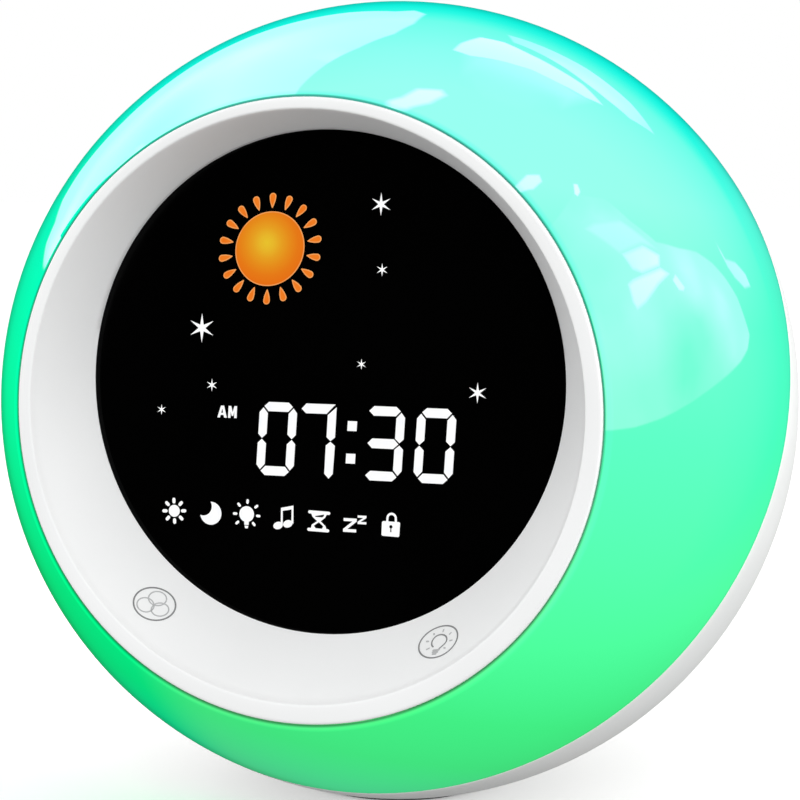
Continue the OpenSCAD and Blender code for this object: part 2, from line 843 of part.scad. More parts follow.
// Speaker frame: flange, basket, yoke and a tab for the leads
module speaker_frame() {
    color("dimgray") on_back() union() {
        tube(speaker_r, speaker_r - 2.5, speaker_flange_z, speaker_flange_z + speaker_flange_t);
        tube(speaker_r - 2.4, speaker_r - 4, speaker_flange_z, speaker_flange_z + 0.6);
        difference() {
            translate([0, 0, basket_z]) cylinder(r1 = basket_low, r2 = basket_top, h = basket_h);
            translate([0, 0, basket_z])
                cylinder(r1 = basket_low - 1, r2 = basket_top - 1, h = basket_h + 0.01);
        }
        disc(basket_low + 0.5, basket_z - yoke_t, basket_z);
        translate([0, speaker_tab_y, 0]) block(8, 2, basket_z + 2, basket_z + 6);
    }
}

module speaker_cone() {
    low = cone_rim_z - cone_h;
    color("black") on_back() union() {
        tube(speaker_r - 2.6, speaker_r - 5, cone_rim_z, cone_rim_z + 0.5);
        difference() {
            translate([0, 0, low]) cylinder(r1 = coil_r, r2 = cone_r, h = cone_h + 0.5);
            translate([0, 0, low]) cylinder(r1 = coil_r - cone_t, r2 = cone_r - cone_t, h = cone_h + 0.51);
        }
        disc(coil_r, low, low + cone_t);
        tube(coil_r - 0.4, coil_r - 1, basket_z, low + 0.1);
    }
}

module speaker_magnet() {
    color("gray") on_back() disc(basket_low, basket_z - yoke_t - magnet_h, basket_z - yoke_t);
}

module speaker_clips() {
    color("silver") on_back() for (a = clip_angles) rotate(a) difference() {
        translate([(clip_in + clip_out) / 2, 0, 0])
            block(clip_out - clip_in, clip_w, speaker_flange_z - clip_t, speaker_flange_z);
        translate([clip_mid, 0, 0]) disc(small_screw_r + 2 * screw_gap, 0, far);
    }
}

module speaker_screws() {
    color("silver") on_back() at_angles(clip_mid, clip_angles)
        screw_up(small_screw_r, small_head_r, small_head_h, speaker_flange_z - clip_t, clip_t + 3);
}

// Board behind the back panel, a ring around the loudspeaker
module key_board() {
    color("darkgreen") on_back() difference() {
        tube(key_board_out, key_board_in, key_board_z, key_board_top);
        at_angles(key_boss_ring, key_boss_angles) disc(small_screw_r + 2 * screw_gap, 0, far);
    }
}

module key_board_screws() {
    color("silver") on_back() at_angles(key_boss_ring, key_boss_angles)
        screw_up(small_screw_r, small_head_r, small_head_h, key_board_z, pcb_t + 5);
}

module tact_switches() {
    top = key_board_top + tact_h;
    color("black") on_back() at_angles(key_arc_r, key_angles) difference() {
        block(tact_s, tact_s, key_board_top, top);
        disc(plunger_r + plunger_gap, top - plunger_in - key_travel - 0.1, top + 1);
    }
}

// A key on the back: cap, flange behind the panel and stem
module key(i) {
    flange_low = stem_z + key_stem_l;
    edge_low = panel_z + key_proud - key_edge;
    on_back() rotate(key_angles[i]) translate([key_arc_r, 0, 0]) union() {
        disc(key_d / 2, flange_low, edge_low);
        translate([0, 0, edge_low]) cylinder(r1 = key_d / 2, r2 = key_d / 2 - key_edge, h = key_edge);
        disc(key_d / 2 + key_flange_w, flange_low, flange_low + key_flange_t);
        disc(key_stem_r, stem_z, flange_low + 0.1);
    }
}

module plunger(i) {
    on_back() rotate(key_angles[i]) translate([key_arc_r, 0, 0])
        disc(plunger_r, stem_z - plunger_out - plunger_in, stem_z);
}

// Upright charging socket: a steel sleeve with a contact tongue
module usb_socket() {
    top = panel_z - usb_recess;
    color("silver") on_back() translate([0, usb_y, 0]) union() {
        difference() {
            slot(usb_w, usb_h, key_board_top, top);
            slot(usb_w - 2 * usb_wall, usb_h - 2 * usb_wall, key_board_top + usb_floor, top + 1);
        }
        block(tongue_w, tongue_t, key_board_top + usb_floor - 1, top - tongue_recess);
    }
}

// Slide switch: the housing stays on the board and the knob slides in its slot
module slide_switch() {
    top = key_board_top + switch_h;
    color("dimgray") on_back() translate([switch_x, switch_y, 0]) difference() {
        block(switch_l, switch_w, key_board_top, top);
        block(knob_foot_l + switch_travel + 2 * run_gap, knob_foot_w + 2 * run_gap, top - 2, top + 1);
    }
}

module switch_knob() {
    plate_top = panel_in - run_gap;
    plate_l = knob_l + 2 * switch_travel - 1.5;
    color("gray") on_back() translate([switch_x - switch_travel / 2, switch_y, 0]) union() {
        block(knob_l, knob_w, plate_top - 0.1, panel_z + knob_proud);
        block(plate_l, knob_w + 2, plate_top - knob_plate_t, plate_top);
        block(knob_foot_l, knob_foot_w, key_board_top + switch_h - 1.8, plate_top - knob_plate_t + 0.1);
    }
}

module base_pad() {
    color("dimgray") disc(pad_r, 0, pad_t);
}

module foot_weight() {
    color("gray") difference() {
        disc(weight_r, floor_z, floor_z + weight_t);
        disc(weight_boss_r + seat_gap, 0, far);
    }
}

module weight_screw() {
    top = floor_z + weight_t;
    color("silver") union() {
        disc(weight_head_r, top, top + weight_head_h);
        disc(weight_screw_r, floor_z + 1, top + 0.01);
    }
}

// Ribbon from the display board, through the tub's notch and the chassis, to the main board
module display_ribbon() {
    low = board_z - 0.6 - ribbon_t;
    high = low + ribbon_t;
    bend = seam_offset + 2;
    end_y = board_y + board_h / 2 - 0.5;
    back_y = ribbon_y + ribbon_t;
    along = [cos(frame_turn), sin(frame_turn)];
    top = ribbon_top_y * along + face_board_z * [-along.y, along.x];
    back_top = top + ribbon_t * [1, tan(frame_turn)];
    color("gray") on_seam() rotate([90, 0, 90]) linear_extrude(height = ribbon_w, center = true)
        polygon([
            [end_y, low], [back_y, low], [back_y, bend], back_top,
            top, [ribbon_y, bend], [ribbon_y, high], [end_y, high]
        ]);
}

// A wire between a start and an end point, straight out of both, slack in between and bent around side
module lead(start, start_way, end, end_way, slack, side = seam_up) {
    mid = (start + end) / 2 + slack;
    wire([start, start + start_way, mid, end + end_way, end], side, wire_d);
}

module speaker_leads() {
    for (s = [-1, 1])
        color(s > 0 ? "red" : "black") lead(
            back_point([-s * 2.4, speaker_tab_y, basket_z + 2]), [0, -5, 0],
            seam_point([speaker_conn.x + s * 1.6, speaker_conn.y, board_z - conn_h]), seam_back(7), [0, 2, 2]
        );
}

module battery_leads() {
    for (s = [-1, 1])
        color(s > 0 ? "red" : "black") lead(
            seam_point([cell_l / 2 - 6 + s * 1.6, cell_y + holder_w / 2 - 0.85, cell_z - 2]), seam_back(6),
            seam_point([battery_conn.x + s * 1.6, battery_conn.y, board_z - conn_h]),
            seam_back(6), seam_back(9), [1, 0, 0]
        );
}

module ring_lead() {
    color("white") lead(
        seam_point([-ring_mid, 0, seam_offset]), seam_back(10),
        seam_point([ring_conn.x, ring_conn.y, board_z - conn_h]), seam_back(8), seam_back(8)
    );
}

module key_lead() {
    color("white") lead(
        back_point([key_arc_r * cos(75), key_arc_r * sin(75), key_board_z]), [0, -6, 0],
        seam_point([key_conn.x, key_conn.y, board_z - conn_h]), seam_back(7), [0, 0, 2]
    );
}

light_dome();
front_bezel();
display_lens();
icon_film();
light_guide();
display_board();
display_leds();
touch_springs();
bezel_screws();
bezel_tub();
tub_screws();
chassis();
led_ring_board();
ring_leds();
ring_screws();
rear_shell();
case_screws();
main_board();
main_board_screws();
main_chips();
main_capacitors();
main_connectors();
battery_holder();
battery_cell();
battery_screws();
speaker_gasket();
speaker_frame();
speaker_cone();
speaker_magnet();
speaker_clips();
speaker_screws();
key_board();
key_board_screws();
tact_switches();
usb_socket();
slide_switch();
switch_knob();
color("gold") key(5);  // key_light
color("gray") key(4);  // key_music
color("gray") key(3);  // key_minus
color("gray") key(2);  // key_plus
color("gray") key(1);  // key_alarm
color("gray") key(0);  // key_clock
color("tan") plunger(5);  // plunger_light
color("tan") plunger(4);  // plunger_music
color("tan") plunger(3);  // plunger_minus
color("tan") plunger(2);  // plunger_plus
color("tan") plunger(1);  // plunger_alarm
color("tan") plunger(0);  // plunger_clock
base_pad();
foot_weight();
weight_screw();
display_ribbon();
speaker_leads();
battery_leads();
ring_lead();
key_lead();
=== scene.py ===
import json
from math import acos, asin, atan2, cos, degrees, hypot, pi, radians, sin, sqrt

import bpy
from mathutils import Matrix, Vector


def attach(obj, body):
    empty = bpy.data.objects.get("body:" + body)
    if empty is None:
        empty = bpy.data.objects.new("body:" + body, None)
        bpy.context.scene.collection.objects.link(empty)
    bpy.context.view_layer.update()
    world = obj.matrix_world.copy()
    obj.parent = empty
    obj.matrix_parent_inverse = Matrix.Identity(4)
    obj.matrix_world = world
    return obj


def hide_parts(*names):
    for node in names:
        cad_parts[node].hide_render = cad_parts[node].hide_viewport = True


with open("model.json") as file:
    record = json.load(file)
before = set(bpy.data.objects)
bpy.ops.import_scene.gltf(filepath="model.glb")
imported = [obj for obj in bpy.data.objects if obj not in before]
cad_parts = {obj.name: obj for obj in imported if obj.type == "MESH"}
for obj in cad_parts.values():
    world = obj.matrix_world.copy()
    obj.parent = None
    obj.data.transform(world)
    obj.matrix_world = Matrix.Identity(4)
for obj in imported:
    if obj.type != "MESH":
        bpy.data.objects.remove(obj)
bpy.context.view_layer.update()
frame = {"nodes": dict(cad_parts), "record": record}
print("frame loaded:", len(frame["nodes"]), "nodes")

# ball centre, and the three frames that the clock is drawn in, in millimetres
ballMiddle = Vector((0, 0, 78.2597))
faceFrame = Matrix.Translation(ballMiddle) @ Matrix.Rotation(radians(86.7), 4, "X")
seamFrame = Matrix.Translation(ballMiddle) @ Matrix.Rotation(radians(68.3), 4, "X")
backFrame = (Matrix.Translation(ballMiddle) @ Matrix.Rotation(pi, 4, "Z")
             @ Matrix.Rotation(pi / 2, 4, "X"))
standing = Matrix.Identity(4)
milli = 0.001
seamTilt = 18.4  # the seam's axis leans this far up from the face's axis
ballR = 80
innerR = 77.5

viewPoint = {"from": (162.93, -456.73, 130.87), "lens": 108, "sensor": 36}


def aim(thing, place, target):
    thing.location = place
    thing.rotation_euler = (Vector(target) - Vector(place)).to_track_quat("-Z", "Y").to_euler()


bpy.ops.object.camera_add()
camera = bpy.context.object
camera.data.lens = viewPoint["lens"]
camera.data.sensor_width = viewPoint["sensor"]
camera.data.dof.use_dof = False
aim(camera, Vector(viewPoint["from"]) * milli, ballMiddle * milli)
bpy.context.scene.camera = camera
bpy.context.scene.view_settings.view_transform = "Standard"


def linearColour(code):
    parts = [int(code[at:at + 2], 16) / 255 for at in (1, 3, 5)]
    return [p / 12.92 if p <= 0.04045 else ((p + 0.055) / 1.055) ** 2.4 for p in parts] + [1]


# an input takes a value, a socket, or a node, which stands for its first output in use
def addNode(tree, kind, inputs=None, stops=(), **settings):
    node = tree.nodes.new("ShaderNode" + kind)
    for name, value in settings.items():
        setattr(node, name, value)
    for name, value in (inputs or {}).items():
        if isinstance(value, bpy.types.Node):
            value = next(output for output in value.outputs if output.enabled)
        if isinstance(value, bpy.types.NodeSocket):
            tree.links.new(value, node.inputs[name])
        else:
            node.inputs[name].default_value = value
    for number, (place, colour) in enumerate(stops):
        spots = node.color_ramp.elements
        spot = spots[number] if number < 2 else spots.new(place)
        spot.position = place
        spot.color = linearColour(colour) if isinstance(colour, str) else (colour,) * 3 + (1,)
    return node


def emptyTree(owner):
    owner.use_nodes = True
    owner.node_tree.nodes.clear()
    return owner.node_tree


def startMaterial(name):
    material = bpy.data.materials.new(name)
    tree = emptyTree(material)
    return material, tree, addNode(tree, "TexCoord").outputs["Object"]


def endMaterial(material, inputs):
    shader = addNode(material.node_tree, "BsdfPrincipled", inputs)
    addNode(material.node_tree, "OutputMaterial", {"Surface": shader})
    return material


studio = {
    "backdrop": 1.0,
    "below": 0.09, "level": 1.2, "above": 0.82,  # soft light from under, round and over the clock
    "gloss": 0.008,
    "floor": "#F8F8F7", "floorSize": 8, "floorGlow": 0.22,
}

world = bpy.data.worlds.new("softStudio")
bpy.context.scene.world = world
sky = emptyTree(world)
rays = addNode(sky, "LightPath")
skyWay = addNode(sky, "SeparateXYZ", {0: addNode(sky, "TexCoord").outputs["Generated"]})
skyShare = addNode(sky, "MapRange", {0: skyWay.outputs["Z"], "From Min": -1, "From Max": 1})
skyColour = addNode(sky, "ValToRGB", {0: skyShare}, [
    (0, studio["below"]), (0.5, studio["level"]), (1, studio["above"])])
fill = addNode(sky, "Background", {"Color": skyColour})
gloss = addNode(sky, "Background", {"Color": (studio["gloss"],) * 3 + (1,)})
plain = addNode(sky, "Background", {"Color": (1, 1, 1, 1), "Strength": studio["backdrop"]})
seen = addNode(sky, "MixShader", {0: rays.outputs["Is Glossy Ray"], 1: fill, 2: gloss})
seen = addNode(sky, "MixShader", {0: rays.outputs["Is Camera Ray"], 1: seen, 2: plain})
addNode(sky, "OutputWorld", {"Surface": seen})

bpy.ops.mesh.primitive_plane_add(size=studio["floorSize"])
floor = bpy.context.object
floor.name = "floor"
floor.data.materials.append(endMaterial(startMaterial("mattePaperSweep")[0], {
    "Base Color": linearColour(studio["floor"]), "Roughness": 0.9, "Specular IOR Level": 0.1,
    "Emission Strength": studio["floorGlow"], "Emission Color": (1, 1, 1, 1)}))
floor.visible_glossy = floor.visible_diffuse = False


def shift(x, y, z=0):
    return Matrix.Translation((x, y, z))


def wayTo(azimuth, elevation):
    a, e = radians(azimuth), radians(elevation)
    return Vector((sin(a) * cos(e), -cos(a) * cos(e), sin(e)))


# each lamp: azimuth and elevation from the ball's middle, distance, size and radiance
softLamps = {"rightBox": (90, 10, 1.5, 0.9, 3.42), "leftBox": (-90, 30, 1.5, 0.9, 1.28),
             "frontBox": (0, 22, 1.8, 1.2, 0.5)}

for name, (azimuth, elevation, distance, size, radiance) in softLamps.items():
    bpy.ops.object.light_add(type="AREA")
    lamp = bpy.context.object
    lamp.name = name
    lamp.data.size = size
    lamp.data.energy = radiance * pi * size ** 2
    aim(lamp, ballMiddle * milli + wayTo(azimuth, elevation) * distance, ballMiddle * milli)
    lamp.visible_camera = lamp.visible_glossy = False

# white cards round the studio, which only the gloss shows: corners and inner spots are azimuth,
# elevation and brightness, or the first two where the whole card has one glow
cards = {
    "crescent": {"softEdge": 0.012,
      "corners": [(-116.8, 10.1, 1.3), (-122.9, 10.3, 1.2), (-125.1, 11.7, 1.1), (-131.1, 11, 1),
         (-133.8, 12.4, 0.95), (-135, 14.7, 0.95), (-136.3, 17.3, 0.95), (-139.6, 20.1, 0.95),
         (-144, 21.9, 0.95), (-147.8, 24.3, 1), (-151.4, 27.1, 1.1), (-155.6, 29.3, 1.1),
         (-159.9, 32.4, 1), (-162, 30.9, 1), (-163.7, 34.8, 1.1), (-163, 44.6, 1.3),
         (-159.5, 52.4, 1.5), (-148.8, 59.1, 1.5), (-134.4, 62.9, 1.6), (-120.3, 65.3, 1.7),
         (-110.1, 66.2, 1.9), (-95, 64.5, 2.1), (-89.5, 57.7, 2.6), (-90.3, 46.7, 3),
         (-92.5, 36.2, 3.4), (-95.6, 26.2, 3.8), (-98.5, 18.2, 4.2), (-104.5, 12, 4)],
      "insides": [(-137, 61.4, 2.1), (-133.8, 42.7, 2.1), (-130.2, 31.7, 2.2),
         (-119.4, 26.9, 2.3), (-114.3, 21, 2.1), (-113.4, 15.8, 3.2)]},
    "streakA": {"softEdge": 0.009, "edgeGlow": 0.6, "distance": 1.19, "glow": 2.4,
      "corners": [(-175.5, 58.9), (-174.6, 53.9), (-175.2, 46.7), (-178.9, 44.9), (175.1, 45.4),
         (168.3, 44.6), (163.1, 43.2), (155, 43.3), (155.5, 46.7), (159.6, 50.1), (165.9, 53),
         (171.8, 56.2), (178.3, 59.5)]},
    "streakB": {"softEdge": 0.009,
      "corners": [(-175.4, 38.5, 0.7), (-178.6, 36.9, 0.8), (177.6, 35.6, 1), (173.7, 34.1, 1.1),
         (169.5, 33.6, 1.3), (164.8, 32.8, 1.3), (155.4, 32.9, 1), (155.2, 38.1, 1.5),
         (159.8, 40.7, 1.9), (165, 42, 1.9), (171.2, 42.2, 1.6), (177.7, 42.4, 1),
         (-179, 42.8, 0.8)]},
    "streakHaze": {"softEdge": 0.06,
      "corners": [(-177.5, 59.2, 0.6), (174.6, 53.8, 1.1), (168.5, 50, 1.2), (161.7, 47.9, 1.2),
         (154.1, 45.2, 1), (140.3, 56.3, 0.1), (131.6, 65.5, 0.1), (139.7, 71.9, 0.1),
         (167.4, 70.9, 0.2)]},
    "topSpot": {"softEdge": 0.03, "glow": 4.8,
      "corners": [(-126.8, 84.5), (-160.4, 83.9), (-176.9, 79.7), (161.7, 76.9), (149.1, 77.9),
         (136.9, 83), (129.1, 88.3), (-94.8, 87.4)]},
    "spotWide": {"softEdge": 0.012, "glow": 5.3,
      "corners": [(77.3, 58.6), (86.3, 59.5), (92.1, 57.7), (89.5, 55.9), (82.4, 55.4),
         (77, 56.4)]},
    "spotSmall": {"softEdge": 0.007, "glow": 6,
      "corners": [(100.6, 51.6), (102.2, 50.8), (99.9, 49.2), (96.9, 48.8), (96.5, 49.8)]},
    "lens": {"softEdge": 0.012, "distance": 1.5,
      "corners": [(74.7, 45.3, 0.3), (73.3, 35.9, 0.8), (74.1, 27.6, 1.8), (74.7, 19.7, 3.2),
         (73.7, 8.4, 2.6), (73.2, -3.6, 2.4), (77.8, -3.9, 2.4), (85, -3.7, 2.4),
         (94.1, -2.4, 1.9), (101.4, -0.9, 1.2), (109.4, 0.8, 1), (116.5, 2.1, 1.1),
         (122.5, 3, 1.4), (128.7, 3.9, 1.8), (133.6, 5, 1.8), (136.5, 6.7, 1.6),
         (136.2, 9.4, 1.4), (135.8, 13, 1.3), (133.7, 16.9, 1.4), (130.9, 20.6, 1.3),
         (126.5, 24.4, 1.4), (119.9, 27.7, 2), (112.7, 31.7, 1.4), (109, 38.2, 1),
         (107, 45, 0.3), (96.5, 50.1, 0.2)],
      "insides": [(106.4, 8.2, 0.2), (103.5, 3.7, 0.4), (112.7, 12, 0.7), (89.3, 13.2, 2.7),
         (90.3, 3.1, 1.9), (125.6, 14.4, 2.6), (117.1, 21.7, 3.1), (91.9, 19, 3.7),
         (80.2, 14.6, 3), (125.8, 7.4, 2.2), (86.6, 34.5, 1.2), (85.2, 25.5, 2.2),
         (98.4, 39.9, 1.8)]},
    "paneSoft": {"softEdge": 0.02, "edgeGlow": 1.6, "distance": 1.14, "glow": 2.8,
      "corners": [(88.5, 42.4), (93.4, 42.6), (104.4, 39.7), (110.8, 29.8), (105.7, 33),
         (95.1, 33.8)]},
    "paneHigh": {"softEdge": 0.018, "edgeGlow": 2.8, "distance": 1.12,
      "corners": [(95.8, 33.9, 5), (105.6, 33, 5.2), (109.8, 29.3, 5.8), (107.3, 27.5, 6.2),
         (99.3, 28.1, 5.8), (96.4, 29.8, 5)]},
    "paneLow": {"softEdge": 0.018, "edgeGlow": 3.2, "distance": 1.1, "glow": 6.6,
      "corners": [(99.1, 28), (107, 27.4), (109.5, 25.2), (103.1, 24.5), (95.6, 22.2),
         (91.6, 21.4), (91, 23.5), (92.1, 27.6), (94.7, 28.1)]},
    "paneSmall": {"softEdge": 0.006, "edgeGlow": 3, "distance": 1.09, "glow": 5.4,
      "corners": [(111.4, 24.6), (112.7, 21.3), (111.5, 20.9), (109.8, 21.6), (109.2, 23.9)]},
    "paneRight": {"softEdge": 0.01, "distance": 1.15, "glow": 1.7,
      "corners": [(137.6, 22.1), (137.8, 18.6), (142.3, 16.3), (145.2, 13.4), (145.3, 11.2),
         (141, 12.3), (137.7, 15.1), (136.5, 17.4), (136.6, 20)]},
}

cardPaint = bpy.data.materials.new("whiteFoamCard")
cardTree = emptyTree(cardPaint)
cardGlow = addNode(cardTree, "Attribute", attribute_name="glow").outputs["Fac"]
cardLight = addNode(cardTree, "Emission", {"Strength": cardGlow})
addNode(cardTree, "OutputMaterial", {"Surface": cardLight})


def hangCard(name, softEdge, corners, insides=(), edgeGlow=0, distance=1.2, glow=1, cuts=5):
    spots, shines = [], []
    for azimuth, elevation, *own in [*corners, *insides]:
        spots.append(ballMiddle * milli + wayTo(azimuth, elevation) * distance)
        shines.append(own[0] if own else glow)
    bpy.ops.mesh.primitive_circle_add(vertices=len(corners), radius=1, fill_type="NGON")
    card = bpy.context.object
    card.name = name
    for point, spot in zip(card.data.vertices, spots):
        point.co = spot
    bpy.ops.object.mode_set(mode="EDIT")
    bpy.ops.mesh.select_all(action="SELECT")
    bpy.ops.mesh.inset(thickness=softEdge)
    bpy.ops.mesh.quads_convert_to_tris()
    bpy.ops.mesh.subdivide(number_cuts=cuts)
    bpy.ops.object.mode_set(mode="OBJECT")
    brightness = card.data.attributes.new("glow", "FLOAT", "POINT")
    for number, point in enumerate(card.data.vertices):
        shares = [1 / ((point.co - spot).length ** 3 + 1e-9) for spot in spots]
        middle = sum(a * b for a, b in zip(shares, shines)) / sum(shares)
        brightness.data[number].value = edgeGlow if number < len(corners) else middle
    card.data.materials.append(cardPaint)
    card.visible_camera = card.visible_diffuse = card.visible_shadow = False


for name, facts in cards.items():
    hangCard(name, **facts)
print("camera, floor and light")


def deselectAll():
    if bpy.context.object and bpy.context.object.mode != "OBJECT":
        bpy.ops.object.mode_set(mode="OBJECT")
    bpy.ops.object.select_all(action="DESELECT")


def takeUp(piece):
    deselectAll()
    piece.select_set(True)
    bpy.context.view_layer.objects.active = piece


def objectMode():
    bpy.ops.object.mode_set(mode="OBJECT")


def applyPlace():
    bpy.ops.object.transform_apply(location=True, rotation=True, scale=True)


# selects faces by their middle and normal, edges by their ends or points by their place
def pick(piece, kind, test):
    takeUp(piece)
    bpy.ops.object.mode_set(mode="EDIT")
    bpy.ops.mesh.select_mode(type=kind)
    bpy.ops.mesh.select_all(action="DESELECT")
    objectMode()
    points = piece.data.vertices
    if kind == "FACE":
        for face in piece.data.polygons:
            face.select = test(face.center, face.normal)
    elif kind == "EDGE":
        for edge in piece.data.edges:
            edge.select = test(*[points[end].co for end in edge.vertices])
    else:
        for point in points:
            point.select = test(point.co)
    bpy.ops.object.mode_set(mode="EDIT")


def weld(piece, threshold=0.0005):
    pick(piece, "VERT", lambda co: True)
    bpy.ops.mesh.remove_doubles(threshold=threshold)
    bpy.ops.mesh.normals_make_consistent(inside=False)
    objectMode()


def roundEdges(piece, test, offset, segments):
    pick(piece, "EDGE", test)
    bpy.ops.mesh.bevel(offset=offset, segments=segments)
    objectMode()


def addBox(name, size, middle):
    deselectAll()
    bpy.ops.mesh.primitive_cube_add(size=1, location=middle, scale=size)
    box = bpy.context.object
    box.name = box.data.name = name
    applyPlace()
    return box


def applyModifier(piece, kind, **settings):
    takeUp(piece)
    modifier = piece.modifiers.new(kind, kind)
    for name, value in settings.items():
        setattr(modifier, name, value)
    bpy.ops.object.modifier_apply(modifier=modifier.name)


def settle(piece, matrix):
    takeUp(piece)
    piece.matrix_world = matrix @ piece.matrix_world
    applyPlace()


def copyOf(piece, name, matrix=standing):
    takeUp(piece)
    bpy.ops.object.duplicate()
    twin = bpy.context.object
    twin.name = twin.data.name = name
    settle(twin, matrix)
    return twin


def joinUp(parts, name):
    takeUp(parts[0])
    for part in parts[1:]:
        part.select_set(True)
    if len(parts) > 1:
        bpy.ops.object.join()
    whole = bpy.context.object
    whole.name = whole.data.name = name
    return whole


def carve(piece, cutter, operation="DIFFERENCE"):
    applyModifier(piece, "BOOLEAN", object=cutter, operation=operation, solver="MANIFOLD")
    bpy.data.objects.remove(cutter)


def ringMiddle(ring):
    tilt = radians(ring[2])
    return Vector((ring[4], sin(tilt) * ring[1] + ring[3], cos(tilt) * ring[1]))


# a ring is (radius, distance along its axis, lean of the axis, shift up, shift right)
def turnRings(name, rings, sides=160, ends="joined"):
    rings = [tuple(ring) + (0,) * (5 - len(ring)) for ring in rings]
    if ends == "joined":
        rings.append(rings[0])
    deselectAll()
    bpy.ops.mesh.primitive_circle_add(
        vertices=sides, radius=rings[0][0], location=ringMiddle(rings[0]),
        rotation=(-radians(rings[0][2]), 0, 0), fill_type="NGON" if ends == "capped" else "NOTHING")
    piece = bpy.context.object
    piece.name = piece.data.name = name
    applyPlace()
    bpy.ops.object.mode_set(mode="EDIT")
    bpy.ops.mesh.select_mode(type="EDGE")
    bpy.ops.mesh.select_all(action="SELECT")
    for last, ring in zip(rings, rings[1:]):
        middle = ringMiddle(ring)
        bpy.ops.mesh.extrude_edges_move(TRANSFORM_OT_translate={"value": middle - ringMiddle(last)})
        if ring[2] != last[2]:
            bpy.ops.transform.rotate(value=radians(ring[2] - last[2]), orient_axis="X",
                                     center_override=middle)
        if abs(ring[0] - last[0]) > 1e-7:
            bpy.ops.transform.resize(value=(ring[0] / last[0],) * 3, center_override=middle)
    if ends == "capped":
        bpy.ops.mesh.edge_face_add()
    weld(piece)
    return piece


def between(start, end, share):
    return start + (end - start) * share


# rings on a ball, from one angle off the axis to another
def ballRings(radius, startAngle, endAngle, count, startTilt=0, endTilt=0):
    rings = []
    for step in range(count + 1):
        share = step / count
        angle = radians(between(startAngle, endAngle, share))
        rings.append((radius * sin(angle), radius * cos(angle), between(startTilt, endTilt, share)))
    return rings


def finishPiece(piece, matrix, material, body="case", nodes=(), crease=35):
    settle(piece, Matrix.Scale(milli, 4) @ matrix)
    bpy.ops.object.shade_smooth_by_angle(angle=radians(crease))
    if material:
        piece.data.materials.clear()
        piece.data.materials.append(material)
    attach(piece, body)
    if nodes:
        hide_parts(*nodes)
    return piece


# ABS or PC from a steel mould: even colour, a faint waviness in the gloss and a fine grain
def mouldedPlastic(name, colour, darker, roughness=0.3, grain=0.5, grainDepth=0.02, wave=6,
                   waveDepth=0.012, ior=1.5, specular=0.5):
    material, tree, place = startMaterial(name)
    flow = addNode(tree, "TexNoise", {"Scale": 1 / 0.03, "Detail": 2, "Vector": place})
    tone = addNode(tree, "ValToRGB", {0: flow}, [(0.3, darker), (0.7, colour)])
    fine = addNode(tree, "TexNoise", {"Scale": 1000 / grain, "Detail": 3, "Vector": place})
    rough = addNode(tree, "MapRange",
                    {0: fine, "To Min": roughness - 0.05, "To Max": roughness + 0.05})
    broad = addNode(tree, "TexNoise", {"Scale": 1000 / wave, "Detail": 1, "Vector": place})
    waves = addNode(tree, "Bump", {"Strength": 1, "Distance": waveDepth * milli, "Height": broad})
    bump = addNode(tree, "Bump", {"Strength": 1, "Distance": grainDepth * milli, "Height": fine,
                   "Normal": waves})
    return endMaterial(material, {"IOR": ior, "Specular IOR Level": specular, "Base Color": tone,
                       "Roughness": rough, "Normal": bump})


# the bezel: polished white ABS, so it shades softly and keeps a low sheen
whiteAbs = mouldedPlastic("polishedWhiteAbs", "#FAFBFB", "#F6F7F7", 0.34, 0.6, 0.004, 9, 0.01,
                          specular=0.35)
# the back half: white ABS with a spark-eroded grain, drawn at 0.5 mm where the real one is 0.1 mm
backAbs = mouldedPlastic("sparkGrainWhiteAbs", "#F4F5F4", "#EFF1F0", 0.5, 0.5, 0.03, 12, 0.01,
                         specular=0.3)
keyAbs = mouldedPlastic("satinWhiteKeyAbs", "#F1F2F1", "#ECEEED", 0.36, 0.4, 0.006)
knobAbs = mouldedPlastic("satinGreyAbs", "#8B8F92", "#83878A", 0.42, 0.4, 0.012)


dome = {
    "sides": 192, "steps": 40, "insideSteps": 24, "edge": 57.52, "mouthShift": (0.24, 0.23),
    "mouth": [(57.2, 54.9), (57.2, 55.42), (57.22, 55.52), (57.28, 55.59), (57.36, 55.62),
              (57.44, 55.63)],
    "seam": [(79.883, 3.175), (79.755, 3.047), (79.58, 3)], "seamTop": 3.35,
    "ledgeR": 55.3, "ledge": 50.4, "ledgeTop": 52.5, "gloss": 0.035, "glow": 1.1,
    "hues": [(0.05, "#4AD68E"), (0.13, "#3FDD7A"), (0.21, "#3FE57D"), (0.42, "#52FEA4"),
             (0.59, "#5CFFBD"), (0.72, "#6CFFCD"), (0.84, "#94FFE4"), (0.94, "#92FFE9")],
    # painted light: how much paler the glow is where the dome faces the front
    "front": [(0.28, 0.0), (0.32, 0.02), (0.36, 0.08), (0.4, 0.25), (0.44, 0.53), (0.48, 0.62),
              (0.53, 0.72), (0.59, 0.85), (0.7, 1.0)],
    "low": [(0.3, 1.0), (0.45, 0.65), (0.6, 0.5), (0.72, 0.33), (0.84, 0.0)],
    # painted shade in the joint with the bezel, then a painted highlight just beyond it
    "joint": [(0.1, 0.25), (0.17, 0.5), (0.27, 0.9), (0.36, 1.15), (0.55, 1.15), (0.78, 1.0)],
    "hueWay": (0.25, 0, 1), "frontWay": (20, 6), "cloud": 45, "body": "#003A2E",
    # where each share of the glow begins and ends, in metres or as a cosine, and its strengths
    "height": {"From Min": 0, "From Max": 0.16},
    "outline": {"From Min": 0.2, "From Max": 0.33, "To Min": 0.8},
    "rightSide": {"From Min": -0.034, "From Max": -0.016},
    "jointWidth": {"From Min": 0.057, "From Max": 0.059},
    "redWidth": {"From Min": 0.0573, "From Max": 0.0583},
    "redHeight": {"From Min": -0.03, "From Max": 0.02, "To Min": 1.7, "To Max": 0.4},
    "highlightHeight": {"From Min": -0.03, "From Max": 0.02, "To Min": 1.15, "To Max": 1},
    "cloudTones": {"To Min": 0.97, "To Max": 1.04},
}
